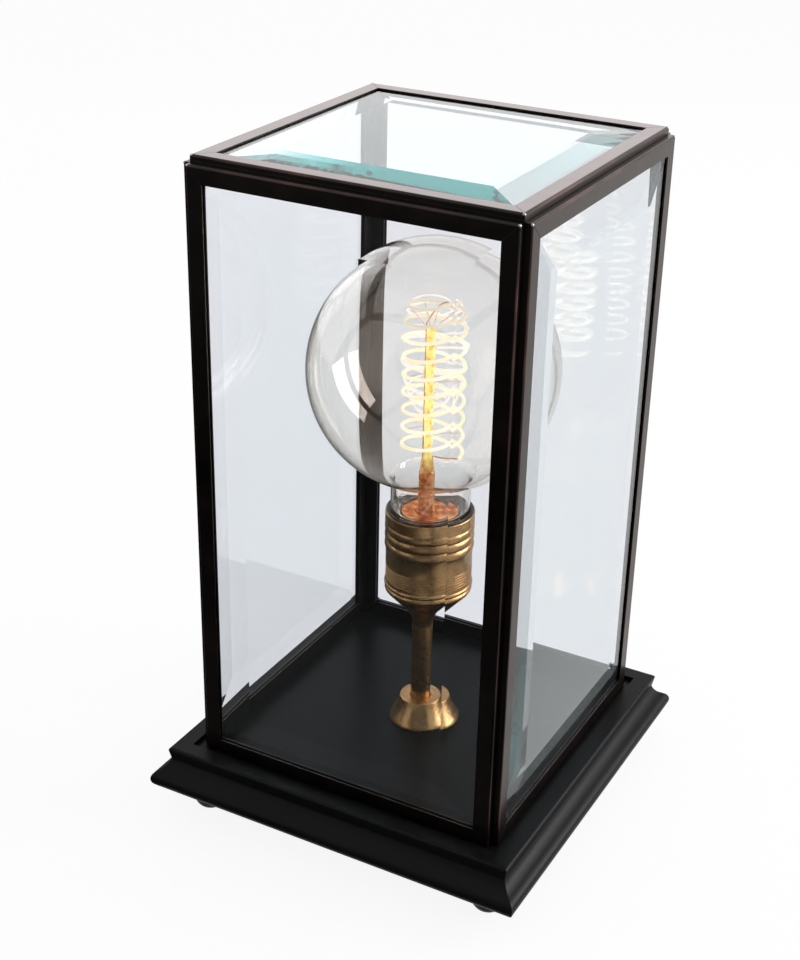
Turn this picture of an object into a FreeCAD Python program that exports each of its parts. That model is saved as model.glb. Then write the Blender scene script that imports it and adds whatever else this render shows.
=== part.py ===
"""Glass-box table lantern: four bevelled panes and a lid in mitred bronze channel frames.

The glass cover stands loose in a shallow recess in a moulded black plinth. Inside it a brass
lampholder on a slim stem carries a large globe bulb with a spiral filament.
Millimetres, +Z up, origin on the table under the middle of the plinth, front towards -Y.
"""

import FreeCAD, Part
import math
import os

from FreeCAD import Placement, Rotation, Vector
from Sketcher import Constraint

doc = FreeCAD.newDocument("table_lantern")

# Driving dimensions: alias in the sheet, millimetres (or degrees, or a count), meaning.
SIZES = [
    ("body_side", 175.0, "width of the glass cover over its frames"),
    ("cover_gap", 3.0, "gap between the cover and the edge of the recess it stands in"),
    ("recess_deep", 2.3, "depth of that recess"),
    ("rim_wide", 9.5, "flat rim of the plinth round the recess"),
    ("plinth_thick", 24.0, "height of the plinth without its feet"),
    ("edge_round", 1.5, "rounding of the top edge"),
    ("edge_undercut", 1.1, "how far the edge draws in down to the cove"),
    ("edge_tall", 7.1, "height of the edge above the cove"),
    ("nose_out", 7.5, "how far the nose stands out past the rim"),
    ("nose_radius", 5.5, "rounding of the nose under the cove"),
    ("nose_turn", 62.0, "angle on the nose at which the cove ends"),
    ("cove_radius", 10.7, "hollow of the cove"),
    ("moulding_wide", 27.5, "width of the moulding round the plinth's square core"),
    ("wiring_deep", 11.0, "depth of the wiring pocket above the bottom board"),
    ("board_clear", 1.3, "gap between the feet's collars and the bottom board"),
    ("board_rest", 20.0, "ledge round the wiring pocket that the board rests against"),
    ("board_thick", 3.0, "thickness of the bottom board"),
    ("board_gap", 0.2, "gap around the bottom board"),
    ("cutter_radius", 6.0, "corner radius that the router leaves in the underside"),
    ("board_screw_inset", 9.0, "bottom board screws, from the board's edges"),
    ("board_screw_radius", 1.5, "shank of a bottom board screw"),
    ("board_screw_long", 12.0, "length of a bottom board screw under its head"),
    ("board_head_radius", 3.0, "head of a bottom board screw"),
    ("board_head_tall", 1.8, "height of that head"),
    ("foot_inset", 23.2, "feet, from the plinth's nose both ways"),
    ("foot_tall", 15.0, "height of a foot"),
    ("foot_radius", 9.5, "ball that a foot is turned as, cut off flat below and above"),
    ("foot_collar_radius", 8.0, "collar at the top of a foot"),
    ("foot_collar_tall", 1.6, "height of that collar"),
    ("foot_sink_gap", 0.8, "gap round the screw head sunk in a foot"),
    ("foot_sink_deep", 5.0, "depth of that sinking"),
    ("foot_screw_radius", 1.75, "shank of a foot screw"),
    ("foot_screw_long", 20.0, "length of a foot screw under its head"),
    ("foot_head_radius", 3.2, "head of a foot screw"),
    ("foot_head_tall", 2.0, "height of that head"),
    ("screw_gap", 0.1, "gap round a screw in what it holds down"),
    ("cord_bore_radius", 3.2, "bore of the cord bush"),
    ("bush_radius", 4.6, "barrel of the cord bush"),
    ("bush_long", 14.0, "length of that barrel"),
    ("bush_flange_radius", 6.2, "flange of the cord bush"),
    ("bush_flange_thick", 1.8, "thickness of that flange"),
    ("bush_gap", 0.05, "gap round the bush in the plinth"),
    ("bush_sink", 2.2, "depth of the flat sunk in the nose for the bush's flange"),
    ("bush_up", 8.0, "cord bush above the plinth's underside"),
    ("tube_radius", 4.9, "threaded tube up the middle"),
    ("tube_wall", 1.1, "wall of the threaded tube"),
    ("tube_gap", 0.05, "gap round the threaded tube"),
    ("tube_below", 2.0, "threaded tube below the lock nut"),
    ("washer_radius", 9.0, "washer under the plinth's deck"),
    ("washer_thick", 1.5, "thickness of that washer"),
    ("nut_across", 14.0, "lock nut across its flats"),
    ("nut_thick", 4.0, "thickness of the lock nut"),
    ("flange_radius", 16.7, "foot of the stem's flange"),
    ("flange_top_radius", 11.1, "top of the stem's flange"),
    ("flange_tall", 14.2, "height of the stem's flange"),
    ("flange_lip", 1.0, "upright edge at the foot of the flange"),
    ("flange_hollow", 60.0, "hollow curve of the flange's side"),
    ("stem_radius", 5.5, "outside of the stem"),
    ("stem_show", 45.1, "stem between the flange and the lampholder"),
    ("stem_seat", 2.0, "how far the stem sits in the flange"),
    ("stem_gap", 0.1, "gap round the stem in the flange"),
    ("cup_tall", 26.2, "height of the lampholder's cup to the top of its bead"),
    ("cup_flare_tall", 12.3, "height at which the flare becomes a cone"),
    ("cup_flare_out", 5.3, "how far the flare has opened there"),
    ("cup_hollow", 17.0, "hollow curve of the flare"),
    ("cone_step", 0.6, "how far the top of the cone lies inside the sleeve's face"),
    ("cup_boss_tall", 11.0, "threaded boss inside the cup"),
    ("boss_wide", 3.5, "top of that boss, outside the stem's radius"),
    ("bead_tall", 3.6, "height of the bead round the top of the cup"),
    ("bead_swell", 0.9, "how far the bead stands out"),
    ("shoulder_deep", 1.2, "shoulder inside the cup below its bead's top"),
    ("shoulder_wide", 2.8, "width of that shoulder"),
    ("spigot_tall", 5.0, "spigot of the cup inside the sleeve"),
    ("spigot_wall", 1.4, "wall of the spigot"),
    ("sleeve_radius", 20.6, "outside of the ridged sleeve"),
    ("sleeve_wall", 1.3, "wall of the sleeve"),
    ("sleeve_tall", 44.2, "height of the sleeve"),
    ("sleeve_gap", 0.1, "gap inside the sleeve and round the core"),
    ("band_out", 0.6, "how far the plain band round the sleeve's mouth stands out"),
    ("band_tall", 7.1, "height of that band"),
    ("band_round", 0.5, "rounding of its top edge"),
    ("ridge_count", 3.0, "round ridges under that band"),
    ("ridge_tall", 5.1, "height of a ridge"),
    ("ridge_swell", 0.7, "how far a ridge stands out"),
    ("foot_bead_tall", 2.4, "height of the bead at the sleeve's foot"),
    ("line_count", 6.0, "fine lines turned in the sleeve"),
    ("line_up", 4.5, "first fine line above the sleeve's foot"),
    ("line_pitch", 1.5, "spacing of the fine lines"),
    ("line_tall", 0.7, "width of a fine line"),
    ("line_deep", 0.3, "depth of a fine line"),
    ("collar_tall", 8.4, "height of the black collar inside the sleeve"),
    ("collar_lip", 0.8, "thickness of the collar's lip over the sleeve's edge"),
    ("collar_edge", 1.8, "width of the collar at the top of its slope"),
    ("collar_step", 0.6, "ledge between the foot of that slope and the screw shell"),
    ("core_floor", 4.0, "floor of the insulating core"),
    ("core_skirt", 6.0, "skirt of the core below its floor"),
    ("core_wall", 2.2, "wall of that skirt"),
    ("core_ledge", 2.8, "ledge round the well under the screw shell"),
    ("core_step", 5.0, "depth of that well"),
    ("thread_gap", 0.4, "gap between the bulb's cap and the screw shell"),
    ("shell_wall", 0.4, "wall of the screw shell"),
    ("shell_tall", 20.0, "height of the screw shell"),
    ("shell_reach", 4.0, "lip turned in at the foot of the screw shell"),
    ("tongue_wide", 5.0, "width of the contact tongue"),
    ("tongue_thick", 0.6, "thickness of the contact tongue"),
    ("tongue_inset", 1.5, "foot of the tongue from the side of the well"),
    ("tongue_bend", 4.0, "bend of the tongue from the axis"),
    ("tongue_gap", 0.1, "gap under the bulb's tip"),
    ("terminal_out", 9.0, "terminal blocks from the axis"),
    ("terminal_side", 6.0, "width of a terminal block"),
    ("terminal_tall", 7.0, "height of a terminal block"),
    ("terminal_screw_radius", 1.4, "shank of a terminal screw"),
    ("terminal_head_radius", 2.4, "head of a terminal screw"),
    ("terminal_head_tall", 1.6, "height of that head"),
    ("bulb_sunk", 32.4, "bulb's tip below the holder's mouth"),
    ("globe_radius", 62.5, "radius of the globe"),
    ("glass_wall", 0.8, "wall of the globe"),
    ("neck_radius", 12.3, "neck of the globe inside the cap"),
    ("neck_sunk", 11.0, "neck inside the cap"),
    ("shoulder_up", 0.2, "neck's shoulder begins above the cap"),
    ("shoulder_tall", 7.5, "height over which the neck widens"),
    ("neck_gap", 0.3, "neck's widest inside the edge of the black collar"),
    ("neck_tall", 12.7, "upright part of the neck between its shoulder and that curve"),
    ("neck_curve", 5.0, "hollow curve from the neck to the globe"),
    ("cement_gap", 0.2, "gap between the neck and the cap"),
    ("cap_wall", 0.4, "wall of the cap"),
    ("cap_tall", 27.0, "height of the cap with its tip"),
    ("cap_lip", 3.0, "lip turned in at the foot of the cap"),
    ("tip_radius", 4.5, "solder tip"),
    ("tip_tall", 2.0, "height of the tip"),
    ("insulator_tall", 3.2, "black glass between tip and cap"),
    ("insulator_inset", 1.9, "edge of that black cone, from the cap's side"),
    ("insulator_plug", 1.6, "black glass inside the cap"),
    ("inner_gap", 0.3, "gap inside the neck round the glass stem"),
    ("shield_radius", 12.6, "heat shield across the neck"),
    ("shield_thick", 0.4, "thickness of the heat shield"),
    ("shield_up", 3.6, "heat shield above the cap"),
    ("flare_down", 10.8, "open end of the inner glass stem below the cap's edge"),
    ("throat_radius", 4.2, "tube of the inner glass stem"),
    ("throat_up", 7.0, "tube begins above the cap's edge"),
    ("stem_glass", 1.0, "wall of the inner glass stem"),
    ("press_up", 26.0, "press of the glass stem above the cap's edge"),
    ("press_tall", 9.0, "height of the press"),
    ("press_wide", 8.0, "width of the press"),
    ("press_thick", 3.4, "thickness of the press"),
    ("rod_radius", 2.2, "glass rod that carries the filament"),
    ("rod_long", 72.0, "length of the glass rod above the press"),
    ("coil_radius", 13.6, "radius of the filament's spiral"),
    ("coil_up", 37.0, "spiral begins above the cap's edge"),
    ("coil_pitch", 9.6, "rise of one turn"),
    ("coil_turns", 9.0, "turns of the spiral"),
    ("coil_runs", 14.0, "straight runs in one turn"),
    ("coil_taper", 2.0, "turns at the top over which the spiral draws in"),
    ("coil_narrow", 3.0, "how much it has drawn in at its end"),
    ("coil_droop", 2.4, "how far its end has dropped towards the turn below"),
    ("wire_radius", 0.35, "filament, hooks and lead wires"),
    ("wire_sides", 6.0, "flat sides of a wire"),
    ("lead_gap", 0.2, "gap between the glass rod and a lead wire"),
    ("hook_reach", 0.3, "gap between a hook's end and the filament"),
    ("hook_count", 4.0, "hooks in a ring"),
    ("side_tall", 320.3, "height of the side frames"),
    ("notch", 3.8, "square notch where two frames meet"),
    ("channel_deep", 5.0, "thickness of a channel frame"),
    ("channel_face", 8.6, "width of a channel frame's face"),
    ("channel_lip", 0.9, "lip of the channel on each side of the glass"),
    ("glass_bite", 5.3, "glass inside the channel"),
    ("groove_gap", 0.3, "gap beyond the glass's edge in the channel"),
    ("pane_thick", 4.2, "thickness of the glass"),
    ("lip_gap", 0.1, "gap between the bevel and the front lip of the channel"),
    ("bevel_wide", 25.0, "width of the bevel"),
]

sheet = doc.addObject("Spreadsheet::Sheet", "dim")
for row, (name, amount, note) in enumerate(SIZES, start=1):
    sheet.set(f"A{row}", name)
    sheet.set(f"B{row}", str(amount))
    sheet.set(f"C{row}", note)
    sheet.setAlias(f"B{row}", name)
doc.recompute()

# Heights and widths that several pieces share, as expressions. Heights count from the table.
RECESS_HALF = "(dim.body_side / 2 + dim.cover_gap)"
TOP_HALF = f"({RECESS_HALF} + dim.rim_wide)"
PLINTH_HALF = f"({TOP_HALF} + dim.nose_out)"
FOOT_OUT = f"({PLINTH_HALF} - dim.foot_inset)"
BOARD_HALF = f"({FOOT_OUT} - dim.foot_collar_radius - dim.board_clear)"
BOARD_SCREW_OUT = f"({BOARD_HALF} - dim.board_screw_inset)"
UNDER = "dim.foot_tall"
TOP = "(dim.foot_tall + dim.plinth_thick)"
DECK = f"({TOP} - dim.recess_deep)"
WIRING_TOP = "(dim.foot_tall + dim.board_thick + dim.wiring_deep)"
BUSH_UP = "(dim.foot_tall + dim.bush_up)"
TUBE_HOLE = "(dim.tube_radius + dim.tube_gap)"
FLANGE_TOP = f"({DECK} + dim.flange_tall)"
CUP_FOOT = f"({FLANGE_TOP} + dim.stem_show)"
SEAT = f"({CUP_FOOT} + dim.cup_tall)"
SHOULDER = f"({SEAT} - dim.shoulder_deep)"
MOUTH = f"({SEAT} + dim.sleeve_tall)"
SLEEVE_BORE = "(dim.sleeve_radius - dim.sleeve_wall)"
SPIGOT = f"({SLEEVE_BORE} - dim.sleeve_gap)"
SPIGOT_BORE = f"({SPIGOT} - dim.spigot_wall)"
CAP_RADIUS = "(dim.neck_radius + dim.cement_gap + dim.cap_wall)"
SHELL_BORE = f"({CAP_RADIUS} + dim.thread_gap)"
WELL = f"({SHELL_BORE} - dim.core_ledge)"
INNER_RADIUS = "(dim.neck_radius - dim.glass_wall - dim.inner_gap)"
LEAD_OUT = "(dim.rod_radius + dim.wire_radius + dim.lead_gap)"
COLLAR_FOOT = f"({MOUTH} - dim.collar_lip - dim.collar_tall)"
CORE_UNDER = f"({SHOULDER} + dim.core_skirt)"
FLOOR = f"({CORE_UNDER} + dim.core_floor)"
SHELL_FOOT = f"({FLOOR} + dim.core_step)"
TIP = f"({MOUTH} - dim.bulb_sunk)"
INSULATOR_FOOT = f"({TIP} + dim.tip_tall)"
CAP_FOOT = f"({INSULATOR_FOOT} + dim.insulator_tall)"
CAP_TOP = f"({TIP} + dim.cap_tall)"
PRESS_FOOT = f"({CAP_TOP} + dim.press_up)"
ROD_FOOT = f"({PRESS_FOOT} + dim.press_tall)"
ROD_TOP = f"({ROD_FOOT} + dim.rod_long)"
COIL_FOOT = f"({CAP_TOP} + dim.coil_up)"
LIP = "(dim.sleeve_radius + dim.band_out - dim.band_round)"
NECK_WIDE = f"({LIP} - dim.collar_edge - dim.neck_gap)"
SHOULDER_FOOT = f"({CAP_TOP} + dim.shoulder_up)"
SHOULDER_TOP = f"({SHOULDER_FOOT} + dim.shoulder_tall)"
NECK_TOP = f"({SHOULDER_TOP} + dim.neck_tall)"
CURVE_OUT = f"({NECK_WIDE} + dim.neck_curve)"
CURVE_FAR = "(dim.globe_radius + dim.neck_curve)"
CURVE_DOWN = f"sqrt({CURVE_FAR}^2 - {CURVE_OUT}^2)"
GLOBE = f"({NECK_TOP} + {CURVE_DOWN})"
FRAME_HALF = "(dim.body_side / 2 - dim.notch)"
SIDE_TOP = f"({DECK} + dim.side_tall)"
LID_TOP = f"({SIDE_TOP} + dim.notch)"
PANE_INSET = "(dim.channel_face - dim.glass_bite)"

# The bevel leaves the glass as thick as the channel, less a gap, where the channel's lip ends.
HIDDEN_BEVEL = "(dim.glass_bite / dim.bevel_wide)"
PANE_EDGE = (f"((dim.channel_deep - 2 * dim.channel_lip - dim.lip_gap"
             f" - dim.pane_thick * {HIDDEN_BEVEL}) / (1 - {HIDDEN_BEVEL}))")

# Lengths (and volumes) that differ by less than this count as equal.
NEAR = 1e-6


def value(expression):
    """The value that an expression of the sheet's names has now."""
    return float(sheet.evalExpression(str(expression)))


def swell_radius(length, rise):
    """Expression for the radius of an arc over this length that stands out by this rise."""
    return f"((({length}) / 2)^2 + ({rise})^2) / (2 * ({rise}))"


def origin_part(body, role):
    """A plane or an axis of a body's own origin."""
    return next(item for item in body.Origin.OriginFeatures if item.Role == role)


def new_body(label):
    """An empty body whose label becomes the name of its file."""
    body = doc.addObject("PartDesign::Body", label)
    body.Label = label
    body.AllowCompound = True
    return body


def new_sketch(body, name, role, lift=None, across=None):
    """A sketch on a plane of the body's origin, moved along its normal and its X axis."""
    sketch = body.newObject("Sketcher::SketchObject", f"{body.Name}_{name}")
    sketch.AttachmentSupport = (origin_part(body, role), [""])
    sketch.MapMode = "FlatFace"
    if lift:
        sketch.setExpression("AttachmentOffset.Base.z", lift)
    if across:
        sketch.setExpression("AttachmentOffset.Base.x", across)
    return sketch


def pin_point(sketch, piece, end, across, up):
    """Hold one end or centre of a line or arc at a place given by two expressions."""
    for kind, expression in (("DistanceX", across), ("DistanceY", up)):
        index = sketch.addConstraint(Constraint(kind, piece, end, value(expression)))
        sketch.setExpression(f"Constraints[{index}]", str(expression))


def pin_radius(sketch, piece, radius):
    """Hold the radius of an arc or circle at an expression."""
    index = sketch.addConstraint(Constraint("Radius", piece, value(radius)))
    sketch.setExpression(f"Constraints[{index}]", str(radius))


def arc_between(start, stop, radius, side):
    """The short arc from start to stop whose centre lies on this side of the way."""
    way = stop - start
    across = Vector(-way.y, way.x, 0).normalize()
    if side == "right":
        across = across * -1
    centre = start + way * 0.5 + across * math.sqrt(max(radius**2 - (way.Length / 2) ** 2, 0))
    crown = centre + (start + way * 0.5 - centre).normalize() * radius
    if side == "left":
        return Part.Arc(start, crown, stop)
    return Part.Arc(stop, crown, start)


def draw(sketch, corners):
    """Draw a closed outline through corners (across, up) or (across, up, radius, side).

    A corner with a radius is reached by an arc whose centre lies on that side of the way.
    """
    points = [Vector(value(corner[0]), value(corner[1]), 0) for corner in corners]
    ends = []
    for i, start in enumerate(points):
        goal = corners[(i + 1) % len(corners)]
        stop = points[(i + 1) % len(corners)]
        if len(goal) == 2:
            ends.append((sketch.addGeometry(Part.LineSegment(start, stop)), 1, 2))
            continue
        radius, side = goal[2:]
        piece = sketch.addGeometry(arc_between(start, stop, value(radius), side))
        pin_radius(sketch, piece, radius)
        ends.append((piece, 1, 2) if side == "left" else (piece, 2, 1))
    for i, (piece, first, last) in enumerate(ends):
        following = ends[(i + 1) % len(ends)]
        pin_point(sketch, piece, first, corners[i][0], corners[i][1])
        sketch.addConstraint(Constraint("Coincident", piece, last, following[0], following[1]))
    return sketch


def draw_circle(sketch, across, up, radius):
    """Draw a circle whose centre and radius are expressions."""
    centre = Vector(value(across), value(up), 0)
    piece = sketch.addGeometry(Part.Circle(centre, Vector(0, 0, 1), value(radius)))
    pin_point(sketch, piece, 3, across, up)
    pin_radius(sketch, piece, radius)
    return sketch


def rectangle(left, low, right, high):
    """Corners of an upright rectangle."""
    return [(left, low), (right, low), (right, high), (left, high)]


def square(half):
    """Corners of a square of this half width about the axis."""
    return rectangle(f"-({half})", f"-({half})", half, half)


def round_square(half, corner):
    """Corners of a centred square of this half width with round corners."""
    near = f"(({half}) - ({corner}))"
    return [
        (f"-{near}", f"-({half})", corner, "left"),
        (near, f"-({half})"),
        (half, f"-{near}", corner, "left"),
        (half, near),
        (near, half, corner, "left"),
        (f"-{near}", half),
        (f"-({half})", near, corner, "left"),
        (f"-({half})", f"-{near}"),
    ]


def add_pad(body, sketch, length, both_ways=False):
    """Add material from a sketch along its normal, or half of it each way."""
    pad = body.newObject("PartDesign::Pad", f"{sketch.Name}_pad")
    pad.Profile = sketch
    pad.setExpression("Length", str(length))
    pad.Midplane = both_ways
    return pad


def cut_pocket(body, sketch, length, along_normal=True):
    """Cut a sketch into the body along its normal, or against it."""
    doc.recompute()
    before = body.Shape.Volume
    pocket = body.newObject("PartDesign::Pocket", f"{sketch.Name}_pocket")
    pocket.Profile = sketch
    pocket.setExpression("Length", str(length))
    pocket.Reversed = along_normal
    doc.recompute()
    if pocket.Shape.Volume > before - NEAR:
        raise RuntimeError(f"{sketch.Name} cuts nothing")
    return pocket


def add_turn(body, sketch, kind="PartDesign::Revolution"):
    """Turn a sketch all the way round its own upright axis, to add or (as a Groove) to cut."""
    turn = body.newObject(kind, f"{sketch.Name}_turn")
    turn.Profile = sketch
    turn.ReferenceAxis = (sketch, ["V_Axis"])
    turn.Angle = 360
    return turn


def turned(label, outline):
    """A body turned about the lamp's axis from a half section (radius, height)."""
    body = new_body(label)
    add_turn(body, draw(new_sketch(body, "section", "XZ_Plane"), outline))
    return body


def turned_ring(label, outline, across, back, count):
    """Equal pieces turned about upright axes, spaced evenly round the lamp's axis."""
    body = new_body(label)
    sketch = new_sketch(body, "section", "XZ_Plane", f"-({back})", across)
    turn = add_turn(body, draw(sketch, outline))
    ring = body.newObject("PartDesign::PolarPattern", f"{body.Name}_ring")
    ring.Originals = [turn]
    ring.Axis = (origin_part(body, "Z_Axis"), [""])
    ring.Angle = 360
    ring.Occurrences = count
    body.Tip = ring
    return body


def panhead_screw(seat, direction, shank, long, head, tall):
    """Half section of a screw whose head bears on a seat; +1 drives it up, -1 down."""
    return [
        ("0", f"{seat} - {direction} * ({tall})"),
        (head, f"{seat} - {direction} * ({tall})"),
        (head, seat),
        (shank, seat),
        (shank, f"{seat} + {direction} * ({long})"),
        ("0", f"{seat} + {direction} * ({long})"),
    ]


def make_plinth():
    """Moulded board: a square core and a mitred ogee, recessed above and hollowed below."""
    body = new_body("plinth")
    nose_middle = f"({PLINTH_HALF} - dim.nose_radius)"
    nose_up = f"({UNDER} + dim.nose_radius)"
    cove_end = f"({nose_middle} + dim.nose_radius * cos(dim.nose_turn * 1deg))"
    cove_end_up = f"({nose_up} + dim.nose_radius * sin(dim.nose_turn * 1deg))"
    core = f"({PLINTH_HALF} - dim.moulding_wide)"
    path = draw(new_sketch(body, "path", "XY_Plane"), square(TOP_HALF))
    section = new_sketch(body, "moulding", "XZ_Plane")
    draw(section, [
        (core, UNDER),
        (nose_middle, UNDER),
        (PLINTH_HALF, nose_up, "dim.nose_radius", "left"),
        (cove_end, cove_end_up, "dim.nose_radius", "left"),
        (f"{TOP_HALF} - dim.edge_undercut", f"{TOP} - dim.edge_tall", "dim.cove_radius",
         "right"),
        (TOP_HALF, f"{TOP} - dim.edge_round"),
        (f"{TOP_HALF} - dim.edge_round", TOP, "dim.edge_round", "left"),
        (core, TOP),
    ])
    moulding = body.newObject("PartDesign::AdditivePipe", "plinth_mouldings")
    moulding.Profile = section
    moulding.Spine = (path, ["Edge1", "Edge2", "Edge3", "Edge4"])
    moulding.Transition = "Right corner"
    board = draw(new_sketch(body, "core", "XY_Plane", UNDER), square(core))
    add_pad(body, board, "dim.plinth_thick")
    recess = draw(new_sketch(body, "recess", "XY_Plane", DECK), square(RECESS_HALF))
    cut_pocket(body, recess, "dim.recess_deep")
    rebate = new_sketch(body, "rebate", "XY_Plane", UNDER)
    draw(rebate, round_square(f"{BOARD_HALF} + dim.board_gap", "dim.cutter_radius"))
    cut_pocket(body, rebate, "dim.board_thick")
    wiring = new_sketch(body, "wiring", "XY_Plane", f"{UNDER} + dim.board_thick")
    draw(wiring, round_square(f"{BOARD_HALF} - dim.board_rest", "dim.cutter_radius"))
    cut_pocket(body, wiring, "dim.wiring_deep")
    stem_hole = draw_circle(new_sketch(body, "stem_hole", "XY_Plane", UNDER), "0", "0", TUBE_HOLE)
    cut_pocket(body, stem_hole, "dim.plinth_thick")
    foot_holes = new_sketch(body, "foot_holes", "XY_Plane", UNDER)
    board_holes = new_sketch(body, "board_holes", "XY_Plane", f"{UNDER} + dim.board_thick")
    for x in (-1, 1):
        for y in (-1, 1):
            draw_circle(foot_holes, f"{x} * {FOOT_OUT}", f"{y} * {FOOT_OUT}",
                        "dim.foot_screw_radius")
            draw_circle(board_holes, f"{x} * {BOARD_SCREW_OUT}", f"{y} * {BOARD_SCREW_OUT}",
                        "dim.board_screw_radius")
    cut_pocket(body, foot_holes, "dim.foot_screw_long - dim.foot_tall + dim.foot_sink_deep")
    cut_pocket(body, board_holes, "dim.board_screw_long - dim.board_thick")
    cord_hole = draw_circle(new_sketch(body, "cord_hole", "XZ_Plane"), "0", BUSH_UP,
                            "dim.bush_radius + dim.bush_gap")
    cut_pocket(body, cord_hole, PLINTH_HALF, along_normal=False)
    flat = new_sketch(body, "bush_flat", "XZ_Plane", f"dim.bush_sink - {PLINTH_HALF}")
    draw_circle(flat, "0", BUSH_UP, "dim.bush_flange_radius + dim.bush_gap")
    cut_pocket(body, flat, "dim.bush_sink", along_normal=False)


def make_base_fittings():
    """Bottom board and its screws, bun feet and theirs, and the cord bush at the back."""
    board = new_body("bottom_board")
    outline = new_sketch(board, "outline", "XY_Plane", UNDER)
    draw(outline, round_square(BOARD_HALF, "dim.cutter_radius - dim.board_gap"))
    add_pad(board, outline, "dim.board_thick")
    holes = new_sketch(board, "holes", "XY_Plane", UNDER)
    for x in (-1, 1):
        for y in (-1, 1):
            draw_circle(holes, f"{x} * {BOARD_SCREW_OUT}", f"{y} * {BOARD_SCREW_OUT}",
                        "dim.board_screw_radius + dim.screw_gap")
    cut_pocket(board, holes, "dim.board_thick")
    screw = panhead_screw(UNDER, 1, "dim.board_screw_radius", "dim.board_screw_long",
                          "dim.board_head_radius", "dim.board_head_tall")
    turned_ring("board_screws", screw, BOARD_SCREW_OUT, BOARD_SCREW_OUT, 4)
    screw = panhead_screw("dim.foot_sink_deep", 1, "dim.foot_screw_radius", "dim.foot_screw_long",
                          "dim.foot_head_radius", "dim.foot_head_tall")
    turned_ring("foot_screws", screw, FOOT_OUT, FOOT_OUT, 4)
    collar_foot = "(dim.foot_tall - dim.foot_collar_tall)"
    cut_radius = f"sqrt(dim.foot_radius^2 - ({collar_foot} / 2)^2)"
    sinking = "dim.foot_head_radius + dim.foot_sink_gap"
    for place, x, y in (("front_left", -1, -1), ("front_right", 1, -1),
                        ("back_left", -1, 1), ("back_right", 1, 1)):
        foot = turned(f"foot_{place}", [
            (sinking, "0"),
            (cut_radius, "0"),
            (cut_radius, collar_foot, "dim.foot_radius", "left"),
            ("dim.foot_collar_radius", collar_foot),
            ("dim.foot_collar_radius", "dim.foot_tall"),
            ("dim.foot_screw_radius + dim.screw_gap", "dim.foot_tall"),
            ("dim.foot_screw_radius + dim.screw_gap", "dim.foot_sink_deep"),
            (sinking, "dim.foot_sink_deep"),
        ])
        foot.setExpression("Placement.Base.x", f"{x} * {FOOT_OUT}")
        foot.setExpression("Placement.Base.y", f"{y} * {FOOT_OUT}")
    bush = turned("cord_bush", [
        ("dim.cord_bore_radius", "-dim.bush_long"),
        ("dim.bush_radius", "-dim.bush_long"),
        ("dim.bush_radius", "0"),
        ("dim.bush_flange_radius", "0"),
        ("dim.bush_flange_radius", "dim.bush_flange_thick"),
        ("dim.cord_bore_radius", "dim.bush_flange_thick"),
    ])
    bush.Placement = Placement(Vector(), Rotation(Vector(1, 0, 0), -90))
    bush.setExpression("Placement.Base.y", f"{PLINTH_HALF} - dim.bush_sink")
    bush.setExpression("Placement.Base.z", BUSH_UP)


def make_stem():
    """Threaded tube clamped through the deck, with its washer, nut, flange and cover tube."""
    tube_foot = f"{WIRING_TOP} - dim.washer_thick - dim.nut_thick - dim.tube_below"
    tube_top = f"{CUP_FOOT} + dim.cup_boss_tall"
    turned("threaded_tube", rectangle("dim.tube_radius - dim.tube_wall", tube_foot,
                                      "dim.tube_radius", tube_top))
    turned("lock_washer", rectangle(TUBE_HOLE, f"{WIRING_TOP} - dim.washer_thick",
                                    "dim.washer_radius", WIRING_TOP))
    nut = new_body("lock_nut")
    nut_foot = f"{WIRING_TOP} - dim.washer_thick - dim.nut_thick"
    outline = new_sketch(nut, "outline", "XY_Plane", nut_foot)
    corner = "dim.nut_across / sqrt(3)"
    draw(outline, [(f"{corner} * cos({60 * i}deg)", f"{corner} * sin({60 * i}deg)")
                   for i in range(6)])
    draw_circle(outline, "0", "0", "dim.tube_radius")
    add_pad(nut, outline, "dim.nut_thick")
    socket = "dim.stem_radius + dim.stem_gap"
    turned("stem_flange", [
        (TUBE_HOLE, DECK),
        ("dim.flange_radius", DECK),
        ("dim.flange_radius", f"{DECK} + dim.flange_lip"),
        ("dim.flange_top_radius", FLANGE_TOP, "dim.flange_hollow", "right"),
        (socket, FLANGE_TOP),
        (socket, f"{FLANGE_TOP} - dim.stem_seat"),
        (TUBE_HOLE, f"{FLANGE_TOP} - dim.stem_seat"),
    ])
    turned("stem_tube", rectangle(TUBE_HOLE, f"{FLANGE_TOP} - dim.stem_seat",
                                  "dim.stem_radius", CUP_FOOT))


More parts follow.
